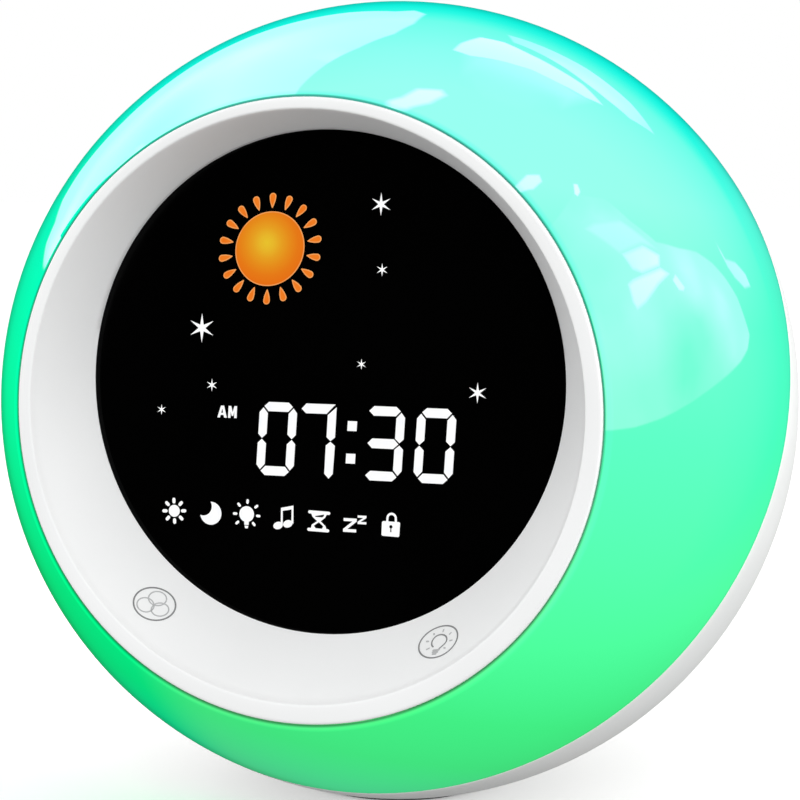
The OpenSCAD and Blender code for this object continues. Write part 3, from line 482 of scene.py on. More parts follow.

# lit opal plastic: the lamps behind tint it, aqua at the top and green below, and it pales
# towards the front as painted light and darkens at its outline as painted shade; its own
# gloss stays sharp over the glow
domeGlow, tree, place = startMaterial("litOpalPolycarbonate")
lean = addNode(tree, "VectorMath", {0: place, 1: dome["hueWay"]}, operation="DOT_PRODUCT")
climb = addNode(tree, "MapRange", {0: lean, **dome["height"]})
hue = addNode(tree, "ValToRGB", {0: climb}, dome["hues"])
fromMiddle = addNode(tree, "VectorMath", {0: place, 1: tuple(-ballMiddle * milli)}, operation="ADD")
frontWay = tuple(wayTo(*dome["frontWay"]) / (ballR * milli))
facing = addNode(tree, "VectorMath", {0: fromMiddle, 1: frontWay}, operation="DOT_PRODUCT")
# painted light: paler where the dome faces the front
frontShare = addNode(tree, "ValToRGB", {0: facing}, dome["front"])
side = addNode(tree, "SeparateXYZ", {0: place})
lowPlace = addNode(tree, "MapRange", {0: side.outputs["Z"], **dome["height"]})
lowShare = addNode(tree, "ValToRGB", {0: lowPlace}, dome["low"])
edgeShare = addNode(tree, "Math", {0: frontShare, 1: lowShare}, operation="MAXIMUM")
# painted shade: darker towards the outline as seen from the front
edgeShade = addNode(tree, "MapRange", {0: facing, **dome["outline"]},
                    interpolation_type="SMOOTHSTEP")
sideShare = addNode(tree, "MapRange", {0: side.outputs["X"], **dome["rightSide"]},
                    interpolation_type="SMOOTHSTEP")
frontalShare = addNode(tree, "Math", {0: edgeShare, 1: sideShare}, operation="MULTIPLY")
# at its mouth the dome has painted shade in the joint with the bezel, next to a painted highlight
# along its lower edge
mouthAxis = faceFrame.to_3x3() @ Vector((0, 0, 1))
mouthMiddle = faceFrame @ Vector((dome["mouthShift"][1], dome["mouthShift"][0], 0)) * milli
fromMouth = addNode(tree, "VectorMath", {0: place, 1: tuple(-mouthMiddle)}, operation="ADD")
alongAxis = addNode(tree, "VectorMath", {0: fromMouth, 1: tuple(mouthAxis)}, operation="PROJECT")
fromAxis = addNode(tree, "VectorMath", {0: fromMouth, 1: alongAxis}, operation="DISTANCE")
mouthPlace = addNode(tree, "MapRange", {0: fromAxis, **dome["jointWidth"]})
# painted shade and highlight: darker in the joint, brighter just beyond it
mouthShadeAndHighlight = addNode(tree, "ValToRGB", {0: mouthPlace}, dome["joint"])
upShare = addNode(tree, "SeparateXYZ", {0: fromMouth}).outputs["Z"]
# painted highlight: the strip at the mouth is paler low down
mouthRed = addNode(tree, "MapRange", {0: upShare, **dome["redHeight"]})
redEdge = addNode(tree, "MapRange", {0: fromAxis, **dome["redWidth"], "To Min": mouthRed})
redShare = addNode(tree, "Math", {0: frontalShare, 1: redEdge}, operation="MULTIPLY")
cloud = addNode(tree, "TexNoise", {"Scale": 1000 / dome["cloud"], "Detail": 1, "Vector": place})
cloudShare = addNode(tree, "MapRange", {0: cloud, **dome["cloudTones"]})
edgedShade = addNode(tree, "Math", {0: cloudShare, 1: edgeShade}, operation="MULTIPLY")
# painted highlight: the brighter strip is kept to the lower part of the mouth
highlightLimit = addNode(tree, "MapRange", {0: upShare, **dome["highlightHeight"]})
mouthPaintedLight = addNode(tree, "Math", {0: mouthShadeAndHighlight, 1: highlightLimit}, operation="MINIMUM")
shade = addNode(tree, "Math", {0: edgedShade, 1: mouthPaintedLight}, operation="MULTIPLY")
tint = addNode(tree, "CombineXYZ", {"X": redShare, "Y": 1, "Z": 1})
tinted = addNode(tree, "VectorMath", {0: hue, 1: tint}, operation="MULTIPLY")
glow = addNode(tree, "VectorMath", {0: tinted, "Scale": shade}, operation="SCALE")
endMaterial(domeGlow, {"Base Color": linearColour(dome["body"]), "Roughness": dome["gloss"],
            "IOR": 1.5, "Coat Weight": 0.5, "Coat Roughness": dome["gloss"],
            "Emission Strength": dome["glow"], "Emission Color": glow})

domeRings = [(dome["mouth"][0][0], dome["ledgeTop"])]
domeRings += [(r, z, 0, *dome["mouthShift"]) for r, z in dome["mouth"]]
domeRings += ballRings(ballR, degrees(asin(dome["edge"] / ballR)),
                       degrees(acos(dome["seamTop"] / ballR)), dome["steps"], 0, seamTilt)
domeRings += [(r, z, seamTilt) for r, z in dome["seam"]]
domeRings += ballRings(innerR, degrees(acos(dome["seam"][-1][1] / innerR)),
                       degrees(acos(dome["ledge"] / innerR)), dome["insideSteps"], seamTilt, 0)
domeRings += [(dome["ledgeR"], dome["ledge"]), (dome["ledgeR"], dome["ledgeTop"])]
lightDome = turnRings("lightDome", domeRings, dome["sides"])
finishPiece(lightDome, faceFrame, domeGlow, "case", ["light_dome"])
print("dome")


# bezel: rim, sloping bowl and skirt, as rings of radius, distance along the axis, shift up and
# shift right
bezel = {
    "sides": 192, "foot": [(57, 52.5, 0, 0)], "rimShift": (0.24, 0.23),
    "rim": [(57, 54.6), (57, 55.6), (56.94, 55.84), (56.8, 56.01), (56.55, 56.12), (56.2, 56.15)],
    "lip": [(54.6, 56.15, 0.9, -0.02), (54.35, 56.13, 1.0, -0.05), (54.18, 56.05, 1.0, -0.05),
            (54.07, 55.9, 1.0, -0.05)],
    "bowlTop": (53.95, 55.6, 1.0, -0.05), "bowlFoot": (47, 43.29, 5.1, 0), "bowlSteps": 12,
    "behind": [(47.4, 42.35, 5.1, 0), (49.2, 42.33, 5.1, 0), (55, 52.3, 0.6, 0), (55, 52.5, 0, 0)],
}

bezelRings = bezel["foot"] + [(r, z, *bezel["rimShift"]) for r, z in bezel["rim"]] + bezel["lip"]
for step in range(bezel["bowlSteps"] + 1):
    bezelRings.append([between(top, foot, step / bezel["bowlSteps"])
                       for top, foot in zip(bezel["bowlTop"], bezel["bowlFoot"])])
bezelRings += bezel["behind"]
frontBezel = turnRings("frontBezel", [(r, z, 0, up, right) for r, z, up, right in bezelRings],
                       bezel["sides"])


# drawn outlines: each is a list of points in millimetres
def around(x, y, radius, angle, high=1):
    return x + radius * cos(angle), y + radius * high * sin(angle)


def turned(x, y, turn, across, up):
    return x + across * cos(turn) - up * sin(turn), y + across * sin(turn) + up * cos(turn)


def circleLine(x, y, radius, high=1, count=40, turn=0):
    return [turned(x, y, turn, *around(0, 0, radius, 2 * pi * step / count, high))
            for step in range(count)]


# an oval drawn with a line of even width
def ovalRing(x, y, radius, high, turn, width, count=40):
    inside = radius - width
    return [circleLine(x, y, radius, high, count, turn),
            circleLine(x, y, inside, (radius * high - width) / inside, count, turn)]


def barLine(x0, y0, x1, y1, width, tips=5):
    way = atan2(y1 - y0, x1 - x0)
    return [around(x, y, width / 2, way + side + pi * step / tips)
            for x, y, side in ((x1, y1, -pi / 2), (x0, y0, pi / 2)) for step in range(tips + 1)]


def arcBand(x, y, radius, startAngle, endAngle, width, count=16):
    outer, inner = [], []
    for step in range(count + 1):
        a = radians(between(startAngle, endAngle, step / count))
        outer.append(around(x, y, radius + width / 2, a))
        inner.append(around(x, y, radius - width / 2, a))
    return outer + inner[::-1]


def starLine(x, y, size, waist, points=6, turn=90):
    return [around(x, y, size / 2 * (waist if step % 2 else 1), radians(turn + 180 * step / points))
            for step in range(2 * points)]


# a drop lies along a ray from (x, y): pointed at its inner end and round at its outer end
def dropLine(x, y, angle, inner, outer, width, tips=12):
    belly = outer - width / 2
    flank = [(between(inner, belly, share), width / 2 * wide) for share, wide in
             ((0.02, 0.1), (0.3, 0.5), (0.62, 0.84))]
    line = [(u, -v) for u, v in flank]
    line += [around(belly, 0, width / 2, radians(between(-98, 98, step / tips)))
             for step in range(tips + 1)]
    return [turned(x, y, angle, u, v) for u, v in line + flank[::-1]]


# a moon is a circle with a bite out of it
def moonLine(x, y, radius, biteX, biteY, biteR, count=30):
    apart = hypot(biteX - x, biteY - y)
    way = atan2(biteY - y, biteX - x)
    half = acos((apart ** 2 + radius ** 2 - biteR ** 2) / (2 * apart * radius))
    biteHalf = pi - acos((apart ** 2 + biteR ** 2 - radius ** 2) / (2 * apart * biteR))
    line = [around(x, y, radius, between(way + half, way + 2 * pi - half, step / count))
            for step in range(count + 1)]
    return line + [around(biteX, biteY, biteR,
                          between(way - biteHalf, way - 2 * pi + biteHalf, step / count))
                   for step in range(1, count)]


def moved(line, x, y, mirrorX=1, mirrorY=1, slant=0.0):
    return [(x + mirrorX * px + slant * mirrorY * py, y + mirrorY * py) for px, py in line]


# outlines of one group may be holes in each other; groups may overlap
def flatShape(name, groups, thickness=0.06):
    parts = []
    for group in groups:
        drawn = bpy.data.curves.new(name, "CURVE")
        drawn.dimensions = "2D"
        drawn.fill_mode = "BOTH"
        drawn.extrude = thickness / 2
        for outline in group:
            spline = drawn.splines.new("POLY")
            spline.points.add(len(outline) - 1)
            for point, (x, y) in zip(spline.points, outline):
                point.co = (x, y, 0, 1)
            spline.use_cyclic_u = True
        part = bpy.data.objects.new(name, drawn)
        bpy.context.scene.collection.objects.link(part)
        takeUp(part)
        bpy.ops.object.convert(target="MESH")
        parts.append(bpy.context.object)
    shape = joinUp(parts, name)
    weld(shape)
    return shape


# ink: a drawn shape is laid down on the surface under it, along its own z
def printOn(shape, place, target, height=0.03, thickness=0.03):
    takeUp(shape)
    shape.matrix_world = place
    applyModifier(shape, "SHRINKWRAP", target=target, wrap_method="PROJECT", use_project_z=True,
                  use_negative_direction=True, use_positive_direction=False, offset=height)
    applyModifier(shape, "SOLIDIFY", thickness=thickness, offset=0)
    applyPlace()
    return shape


# touch keys: two marks printed on the bowl; ovals are x, y, radius, height share and turn, and
# strokes are their two ends and width
touchKeys = {
    "ringWidth": 0.3, "lineWidth": 0.25, "bulbWidth": 0.28,
    "colours": {"middle": (-30.77, -37.56, 49.85), "normal": (0.462, 0.606, 0.648),
                "ring": (0.05, 0.03, 4.15, 0.889, radians(16.5))},
    "light": {"middle": (26.16, -40.79, 49.94), "normal": (-0.388, 0.646, 0.658),
              "ring": (-0.08, 0.07, 4.62, 0.805, radians(-13.4))},
    "circles": [(0.22, 1.37, 1.85, 0.9, 0.5), (-1.48, -0.8, 1.75, 0.95, 0.25),
                (1.39, -0.74, 1.8, 0.86, 0.6)],
    "bulb": [(-0.94, -0.95), (-1.32, -0.62), (-1.56, -0.2), (-1.67, 0.2), (-1.66, 0.62),
             (-1.5, 1.1), (-1.2, 1.45), (-0.75, 1.68), (-0.25, 1.72), (0.3, 1.62), (0.85, 1.38),
             (1.35, 1.0), (1.7, 0.5), (1.84, 0.05), (1.8, -0.35), (1.55, -0.78), (1.05, -1.2),
             (0.52, -1.68)],
    "strokes": [(-0.72, -1.75, 0.6, -1.88, 0.42), (-0.72, -2.2, 0.42, -2.32, 0.4),
                (-0.6, -2.62, 0.15, -2.7, 0.38), (0.29, 2.75, 0.25, 2.3, 0.3),
                (2.38, 1.58, 2.1, 1.3, 0.3), (3.2, -0.32, 2.62, -0.28, 0.3),
                (1.68, -1.64, 2.02, -1.82, 0.3), (-1.82, 2.28, -1.71, 2.05, 0.32),
                (-2.98, 0.73, -2.52, 0.62, 0.32), (-2.38, -1.22, -1.83, -1.04, 0.3)],
}


# pad-printed ink, matte on the polished plastic, with specks drawn at 0.4 mm
def inkPaint(name, colour, darker):
    material, tree, place = startMaterial(name)
    speck = addNode(tree, "TexNoise", {"Scale": 1 / 0.0004, "Detail": 2, "Vector": place})
    tone = addNode(tree, "ValToRGB", {0: speck}, [(0.35, darker), (0.65, colour)])
    return endMaterial(material, {"Roughness": 0.55, "Specular IOR Level": 0.25,
                       "Base Color": tone})


touchRingInk = inkPaint("padPrintedGreyInk", "#8E8F90", "#838485")
touchLineInk = inkPaint("padPrintedLightGreyInk", "#C2C3C4", "#B8B9BA")


def tangentPlace(middle, normal):
    up = Vector(normal).normalized()
    across = (Vector((1, 0, 0)) - up * up.x).normalized()
    along = up.cross(across)
    turn = Matrix((across, along, up)).transposed().to_4x4()
    return Matrix.Translation(Vector(middle) + up) @ turn


def touchMark(name, key, lines, ink):
    place = tangentPlace(touchKeys[key]["middle"], touchKeys[key]["normal"])
    shape = printOn(flatShape(name, lines, 0), place, frontBezel)
    return finishPiece(shape, faceFrame, ink, crease=60)


def touchRing(name, key):
    ring = ovalRing(*touchKeys[key]["ring"], touchKeys["ringWidth"], 72)
    return touchMark(name, key, [ring], touchRingInk)


# a stroke of even width along a list of points
def strokeLine(points, width):
    left, right = [], []
    for at, (x, y) in enumerate(points):
        (x0, y0), (x1, y1) = points[max(at - 1, 0)], points[min(at + 1, len(points) - 1)]
        way = atan2(y1 - y0, x1 - x0)
        left.append((x - width / 2 * sin(way), y + width / 2 * cos(way)))
        right.append((x + width / 2 * sin(way), y - width / 2 * cos(way)))
    return left + right[::-1]


touchRing("touchColoursRing", "colours")
touchMark("touchColoursMark", "colours",
          [ovalRing(*oval, touchKeys["lineWidth"]) for oval in touchKeys["circles"]], touchLineInk)
touchRing("touchLightRing", "light")
touchMark("touchLightBulb", "light", [[strokeLine(touchKeys["bulb"], touchKeys["bulbWidth"])]],
          touchRingInk)
touchMark("touchLightMark", "light", [[barLine(*stroke, 3)] for stroke in touchKeys["strokes"]],
          touchLineInk)
finishPiece(frontBezel, faceFrame, whiteAbs, "case", ["front_bezel"], 50)
print("bezel and touch marks")


# display: lit symbols in a smoked lens
display = {
    "plane": 42.36, "thickness": 0.04, "above": 0.03, "slant": 0.049, "digitRow": -5.8,
    "digits": [(-9.42, "0"), (-1.5, "7"), (12.05, "3"), (22.0, "0")],
    "colons": [(5.71, -2.78), (5.5, -8.86)], "colonSize": 1.84,
    "stars": [(10.6, 38.4, 4.2), (11.04, 26.34, 2.4), (-25.13, 14.66, 5.5), (7.31, 8.78, 2.0),
              (-22.88, 3.89, 2.4), (30.01, 4.25, 3.8), (-33.31, -1.15, 2.0)],
    "starWaist": 0.26, "letters": (-21.65, -2.2),
    "sun": (-11.46, 29.88), "sunR": 7.0, "sunRim": 0.2, "sunLean": 0.038, "rays": 18,
    "rayTurn": 9.3, "rayRim": (7.6, 10.45, 1.34), "ray": (8.05, 10.25, 0.92),  # from, to, width
    "sunGlow": [(0, "#E8C22E"), (0.17, "#E7B62B"), (0.36, "#E69F22"), (0.55, "#E68C1C"),
                (0.75, "#E67A18"), (1, "#E66D15")], "sunGlowMiddle": (-12.0, 31.0), "sunGlowR": 8.2,
}

topBar = [(-2.88, 6.12), (-2, 6.92), (2, 6.92), (2.88, 6.12), (2, 5.17), (-2, 5.17)]
sideBar = [(-3.05, 5.85), (-3.8, 4.95), (-3.8, 0.85), (-3.02, 0.08), (-2.12, 0.92), (-2.12, 4.8)]
freeTopBar = [(-3.3, 6.0), (-2.35, 6.92), (2, 6.92), (2.88, 6.12), (2, 5.17), (-2.35, 5.13)]
middleBar = [(-3.25, 0), (-2.35, 0.9), (1.9, 0.9), (2.82, 0), (1.85, -0.92), (-2.33, -0.9)]
threeSide = [(-3.05, 5.85), (-3.8, 4.95), (-3.8, 0.95), (-3.02, 0.22), (-2.12, 1.02), (-2.12, 4.8)]
sevenTop = [(-3.26, 5.9), (-2.35, 6.9), (3.5, 6.92), (1.8, 5.1), (-2.3, 5.07)]
sevenHigh = [(3.74, 6.4), (3.78, 0.75), (2.92, 0.05), (2.1, 0.75), (2.07, 4.9)]
sevenLow = [(2.92, -0.08), (3.86, -0.8), (3.79, -6.1), (3.01, -7.0), (2.1, -6.1), (2.05, -0.8)]
digitBars = {
    "0": [(topBar, 1, 1), (topBar, 1, -1), (sideBar, 1, 1), (sideBar, -1, 1), (sideBar, 1, -1),
          (sideBar, -1, -1)],
    "7": [(sevenTop, 1, 1), (sevenHigh, 1, 1), (sevenLow, 1, 1)],
    "3": [(freeTopBar, 1, 1), (middleBar, 1, 1), (freeTopBar, 1, -1), (threeSide, -1, 1),
          (threeSide, -1, -1)],
}


# light through a printed film and smoked acrylic: flat, even and self-lit
def litSymbol(name, stops, middle=None, reach=1):
    material, tree, place = startMaterial(name)
    if middle:
        spot = faceFrame @ Vector((*middle, display["plane"])) * milli
        away = addNode(tree, "VectorMath", {0: place, 1: tuple(spot)}, operation="DISTANCE")
        share = addNode(tree, "Math", {0: away, 1: 1 / (reach * milli)}, operation="MULTIPLY")
    else:
        share = addNode(tree, "TexNoise", {"Scale": 1 / 0.002, "Vector": place})
    tint = addNode(tree, "ValToRGB", {0: share}, stops)
    return endMaterial(material, {"Base Color": (0, 0, 0, 1), "Roughness": 0.6,
                       "Specular IOR Level": 0, "Emission Strength": 1, "Emission Color": tint})


whiteLight = litSymbol("litWhiteSymbol", [(0.2, "#F8FAFF"), (0.5, "#FFFFFF")])
sunLight = litSymbol("litOrangeSymbol", display["sunGlow"], display["sunGlowMiddle"],
                     display["sunGlowR"])
sunRimLight = litSymbol("litPaleOrangeSymbol", [(0.2, "#F08E42"), (0.5, "#F4A05A")])
rayLight = litSymbol("litDeepOrangeSymbol", [(0.2, "#EA7018"), (0.5, "#EF7D24")])


def showSymbol(name, groups, light=whiteLight, rise=0.0):
    shape = flatShape(name, groups, display["thickness"])
    lift = shift(0, 0, display["plane"] + rise)
    return finishPiece(shape, faceFrame @ lift, light)


for number, (x, figure) in enumerate(display["digits"]):
    bars = [moved(bar, x, display["digitRow"], mirrorX, mirrorY, display["slant"])
            for bar, mirrorX, mirrorY in digitBars[figure]]
    showSymbol("digit%d" % (number + 1), [bars])
half = display["colonSize"] / 2
colon = [moved([(-half, -half), (half, -half), (half, half), (-half, half)], x, y,
               slant=display["slant"]) for x, y in display["colons"]]
showSymbol("digitColon", [colon])

lettersAM = [[[(0, 0), (0.72, 2.26), (1.36, 2.26), (1.94, 0), (1.4, 0), (1.28, 0.5), (0.66, 0.5),
               (0.54, 0)], [(0.76, 0.9), (1.18, 0.9), (1.0, 1.75)]],
             [[(2.2, 0), (2.3, 2.26), (2.84, 2.26), (3.14, 1.05), (3.5, 2.26), (4.02, 2.26),
               (3.96, 0), (3.46, 0), (3.5, 1.3), (3.26, 0.4), (2.96, 0.4), (2.7, 1.3), (2.7, 0)]]]
showSymbol("lettersAM", [[moved(line, *display["letters"]) for line in group]
                         for group in lettersAM])
showSymbol("nightStars", [[starLine(*star, display["starWaist"])] for star in display["stars"]])

sunX, sunY = display["sun"]
sunTurns = [radians(360 * step / display["rays"] + display["rayTurn"])
            for step in range(display["rays"])]


# the drawn sun leans: it is a little longer towards its upper right
def leaning(line):
    lean = display["sunLean"]
    return [(x + lean * (y - sunY), y + lean * (x - sunX)) for x, y in line]


for name, inset, light, rise in (("sunRim", 0, sunRimLight, 0),
                                 ("sunDisc", display["sunRim"], sunLight, display["above"])):
    disc = circleLine(sunX, sunY, display["sunR"] - inset, count=72)
    showSymbol(name, [[leaning(disc)]], light, rise)
for name, facts, light, rise in (("sunRayRims", display["rayRim"], sunRimLight, 0),
                                 ("sunRays", display["ray"], rayLight, display["above"])):
    showSymbol(name, [[leaning(dropLine(sunX, sunY, a, *facts)) for a in sunTurns]], light, rise)

# the row of small signs: sun, moon, lamp, note, sand glass, sleep, lock
signSun = {"middle": (-30.34, -20.46), "r": 1.15, "ray": (1.72, 2.2, 0.64), "rays": 8, "turn": 3}

signX, signY = signSun["middle"]
rayStart, rayEnd, rayWidth = signSun["ray"]
smallSun = [circleLine(signX, signY, signSun["r"])]
for step in range(signSun["rays"]):
    a = radians(360 / signSun["rays"] * step + signSun["turn"])
    smallSun.append(barLine(*around(signX, signY, rayStart, a), *around(signX, signY, rayEnd, a),
                            rayWidth))
showSymbol("signSun", [smallSun])
showSymbol("signMoon", [[moonLine(-22.72, -20.52, 2.2, -24.3, -19.25, 1.78)]])
signLamp = {"middle": (-15.3, -20.35), "ray": (0.2, 0.62, 0.5),
            "rays": [(-15.13, -17.5), (-13.03, -18.53), (-12.52, -20.57), (-13.55, -22.43),
                     (-17.51, -22.27), (-18.08, -20.32), (-17.17, -18.29)]}

signX, signY = signLamp["middle"]
rayStart, rayEnd, rayWidth = signLamp["ray"]
lampSign = []
for x, y in signLamp["rays"]:
    way = atan2(y - signY, x - signX)
    lampSign.append(barLine(*around(x, y, -rayStart, way), *around(x, y, -rayEnd, way), rayWidth))
showSymbol("signLamp", [
    lampSign, [circleLine(-15.3, -20.3, 1.5)],
    [[(-15.78, -21.5), (-14.84, -21.5), (-14.86, -22.35), (-15.74, -22.35)]],
    [[(-15.7, -22.5), (-14.92, -22.5), (-15.05, -23.0), (-15.56, -23.0)]]])
showSymbol("signNote", [
    *[[circleLine(x, y, 0.97, 0.72, 24, 0.3)] for x, y in ((-8.85, -22.12), (-6.88, -21.7))],
    [[(-8.3, -22.1), (-7.9, -22.1), (-7.95, -19.3), (-6.15, -18.95), (-6.15, -21.6),
      (-5.75, -21.6), (-5.8, -18.2), (-8.3, -18.75)]]])
showSymbol("signSandGlass", [
    [barLine(-2.5, -19.2, 1.35, -19.3, 0.6)], [barLine(-2.62, -22.5, 1.2, -22.58, 0.6)],
    [[(-2.15, -19.5), (-1.9, -20.1), (-0.95, -20.87), (-2.05, -21.6), (-2.2, -22.4),
      (1.0, -22.45), (0.7, -21.7), (-0.25, -20.87), (0.65, -20.15), (0.95, -19.55)],
     [(-1.72, -19.5), (-1.45, -19.95), (-1.25, -20.1), (0.05, -20.12), (0.3, -19.95),
      (0.5, -19.55)],
     [(-0.6, -21.05), (-1.6, -21.75), (-1.2, -22.3), (0.0, -22.3), (0.3, -21.8)]]])


def sleepLine(left, right, top, foot, stroke, lean):
    low, high = foot + stroke, top - stroke
    return [(left, top), (right, top), (right, high), (left + stroke * 1.4, low),
            (right + lean, low), (right + lean, foot), (left + lean, foot), (left + lean, low),
            (right - stroke * 1.5, high), (left, high)]


showSymbol("signSleep", [[sleepLine(4.35, 6.95, -20.0, -22.58, 0.55, -0.08)],
                         [sleepLine(7.13, 8.86, -19.37, -20.98, 0.42, 0)]])
lockPlate = [(12.16, -20.15), (15.35, -20.2), (15.52, -20.4), (15.4, -22.8), (15.2, -22.98),
             (12.1, -22.9), (11.9, -22.7), (11.96, -20.35)]
keyHole = [(13.6, -22.15), (13.64, -21.42),
           *[around(13.73, -21.15, 0.33, radians(between(240, -60, step / 12)))
             for step in range(13)], (13.84, -21.42), (13.86, -22.15)]
showSymbol("signLock", [[lockPlate, keyHole], [arcBand(13.84, -19.55, 0.82, 0, 180, 0.42)],
                        [[(12.81, -19.56), (13.23, -19.56), (13.2, -20.2), (12.78, -20.2)]],
                        [[(14.45, -19.56), (14.87, -19.56), (14.9, -20.2), (14.48, -20.2)]]])
print("display symbols")


# back half of the ball; its panel faces backwards, and wells hold the case screws
back = {
    "sides": 144, "steps": 56, "insideSteps": 44, "pole": 179.6,
    "seam": [(79.91, 2.82), (79.79, 2.95), (79.6, 3)], "seamTop": 2.65, "between": 78.6,
    "panel": 71.4423, "panelInside": 68.9423, "foot": 0.8, "footInside": 3.3, "edgeWidth": 0.7,
    "wells": [(45, 38), (45, -38), (-45, 38), (-45, -38)], "wellR": 3.8, "wellSides": 48,
    "tubeR": 5.5, "wellFloor": -22.5, "tubeTop": -20, "tubeEnd": -66, "wellEnd": -80,
    "keyArc": 27.5, "keyHoleR": 4.65, "keyHoleEdge": (0.35, 0.2, 0.15),
    "keyAngles": {"clock": 20, "alarm": 48, "plus": 76, "minus": 104, "music": 132, "light": 160},
    "holeR": 0.9, "holePitch": 4.2, "holeCount": (6, 12, 18), "holeEdge": (0.4, 0.25, 0.15),
    "socket": (0, -27.5, 9.54, 3.8), "switch": (-17, -22, 7.3, 2.5), "cutLow": 66, "cutHigh": 75,
    "padR": 18.6, "padTop": 1.6,
}

shellRings = ballRings(ballR, back["pole"], degrees(acos(back["seamTop"] / ballR)),
                       back["steps"], seamTilt, seamTilt)
shellRings += [(r, z, seamTilt) for r, z in back["seam"]]
shellRings += ballRings(innerR, degrees(acos(back["seam"][-1][1] / innerR)),
                        back["pole"], back["insideSteps"], seamTilt, seamTilt)
rearShell = turnRings("rearShell", shellRings, back["sides"], "open")
settle(rearShell, faceFrame)
cuts = [(False, (0, back["panelInside"], 0), (0, 1, 0)),
        (False, (0, 0, back["footInside"]), (0, 0, -1)),
        (True, (0, back["panel"], 0), (0, 1, 0)),
        (True, (0, 0, back["foot"]), (0, 0, -1))]
for outside, spot, way in cuts:
    pick(rearShell, "FACE", lambda co, normal: (
        ((co - ballMiddle).length > back["between"]) == outside
        and abs((co - ballMiddle).length - back["between"]) > 0.5))
    bpy.ops.mesh.bisect(plane_co=spot, plane_no=way, use_fill=True, clear_outer=True)
    if outside:
        objectMode()
        pick(rearShell, "FACE",
             lambda co, normal: abs((co - Vector(spot)).dot(Vector(way))) < 0.001)
        bpy.ops.mesh.inset(thickness=back["edgeWidth"])
    objectMode()
weld(rearShell, 0.002)


def slotSolid(name, x, y, length, width, low, high, sides=32):
    solid = turnRings(name, [(width / 2, low), (width / 2, high)], sides, "capped")
    for side in (-1, 1):
        pick(solid, "VERT", lambda co: co.x * side > 0.001)
        bpy.ops.transform.translate(value=(side * (length - width) / 2, 0, 0))
        objectMode()
    settle(solid, shift(x, y))
    return solid


panelTop = back["panel"]
keyPlaces = {name: around(0, 0, back["keyArc"], radians(a))
             for name, a in back["keyAngles"].items()}

tubes = []
for x, y in back["wells"]:
    tube = turnRings("wellTube", [(back["tubeR"], back["tubeTop"]),
                                  (back["tubeR"], back["tubeEnd"])],
                     back["wellSides"], "capped")
    settle(tube, shift(x, y))
    outward = Vector((x, y, -sqrt(ballR ** 2 - x ** 2 - y ** 2))).normalized()
    pick(tube, "FACE", lambda co, normal: True)
    bpy.ops.mesh.bisect(plane_co=outward * back["between"], plane_no=outward, use_fill=True,
                        clear_outer=True)
    objectMode()
    settle(tube, seamFrame)
    tubes.append(tube)
carve(rearShell, joinUp(tubes, "wellTubes"), "UNION")

cutters = []
for x, y in back["wells"]:
    well = turnRings("well", [(back["wellR"], back["wellFloor"]),
                              (back["wellR"], back["wellEnd"])],
                     back["wellSides"], "capped")
    settle(well, seamFrame @ shift(x, y))
    cutters.append(well)


# round holes through the panel, each with a small bevel at its outer edge: wider, below, above
def panelHoles(name, radius, edge, sides, places):
    wider, below, above = edge
    hole = turnRings(name, [(radius, back["cutLow"]), (radius, panelTop - below),
                            (radius + wider, panelTop + above)], sides, "capped")
    for x, y in places:
        cutters.append(copyOf(hole, name, backFrame @ shift(x, y)))
    bpy.data.objects.remove(hole)


places = [(0, 0)]
for row, count in enumerate(back["holeCount"], 1):
    places += [around(0, 0, row * back["holePitch"], 2 * pi * step / count)
               for step in range(count)]
panelHoles("grilleHole", back["holeR"], back["holeEdge"], 20, places)
panelHoles("keyHole", back["keyHoleR"], back["keyHoleEdge"], 64, keyPlaces.values())
for name in ("socket", "switch"):
    cutter = slotSolid(name + "Slot", *back[name], back["cutLow"], back["cutHigh"])
    settle(cutter, backFrame)
    cutters.append(cutter)
cutters.append(turnRings("padPocket", [(back["padR"], -1),
                                       (back["padR"], back["padTop"])], 96, "capped"))
carve(rearShell, joinUp(cutters, "cutters"))
finishPiece(rearShell, standing, backAbs, "case", ["rear_shell"], 22)
print("back shell")


keyCap = {
    "sides": 64, "signHeight": 73, "signDepth": 0.02,
    "rings": [(2.5, 66.34), (2.5, 67.34), (5.2, 67.34), (5.2, 68.64), (4.5, 68.64), (4.5, 71.98),
              (4.46, 72.16), (4.34, 72.31), (4.14, 72.41), (3.9, 72.44), (3.4, 72.41), (2.6, 72.34),
              (1.6, 72.28), (0.7, 72.26)],
}
keyInk = inkPaint("padPrintedDarkInk", "#55585B", "#4B4E51")
keySigns = {
    "light": [[circleLine(0, 0.35, 1.15), circleLine(0, 0.35, 0.78)],
              [[(-0.5, -0.95), (0.5, -0.95), (0.5, -1.25), (-0.5, -1.25)]],
              [[(-0.35, -1.45), (0.35, -1.45), (0.25, -1.75), (-0.25, -1.75)]]],
    "music": [[circleLine(-0.6, -1.1, 0.62, 0.75, 24, 0.3)],
              [[(-0.15, -1.1), (0.15, -1.1), (0.15, 0.9), (1.15, 0.5), (1.15, 0.95),
                (-0.15, 1.6)]]],
    "minus": [[barLine(-1.2, 0, 1.2, 0, 0.5)]],
    "plus": [[barLine(-1.2, 0, 1.2, 0, 0.5)], [barLine(0, -1.2, 0, 1.2, 0.5)]],
    "alarm": [[[(-1.5, -0.9), (-1.15, -0.5), (-1.05, 0.3), (-0.85, 0.95), (-0.4, 1.3), (0, 1.4),
                (0.4, 1.3), (0.85, 0.95), (1.05, 0.3), (1.15, -0.5), (1.5, -0.9)]],
              [circleLine(0, -1.3, 0.3, count=16)]],
    "clock": [[circleLine(0, 0, 1.55), circleLine(0, 0, 1.2)], [barLine(0, 0, 0, 0.85, 0.3)],
              [barLine(0, 0, 0.6, -0.25, 0.3)]],
}
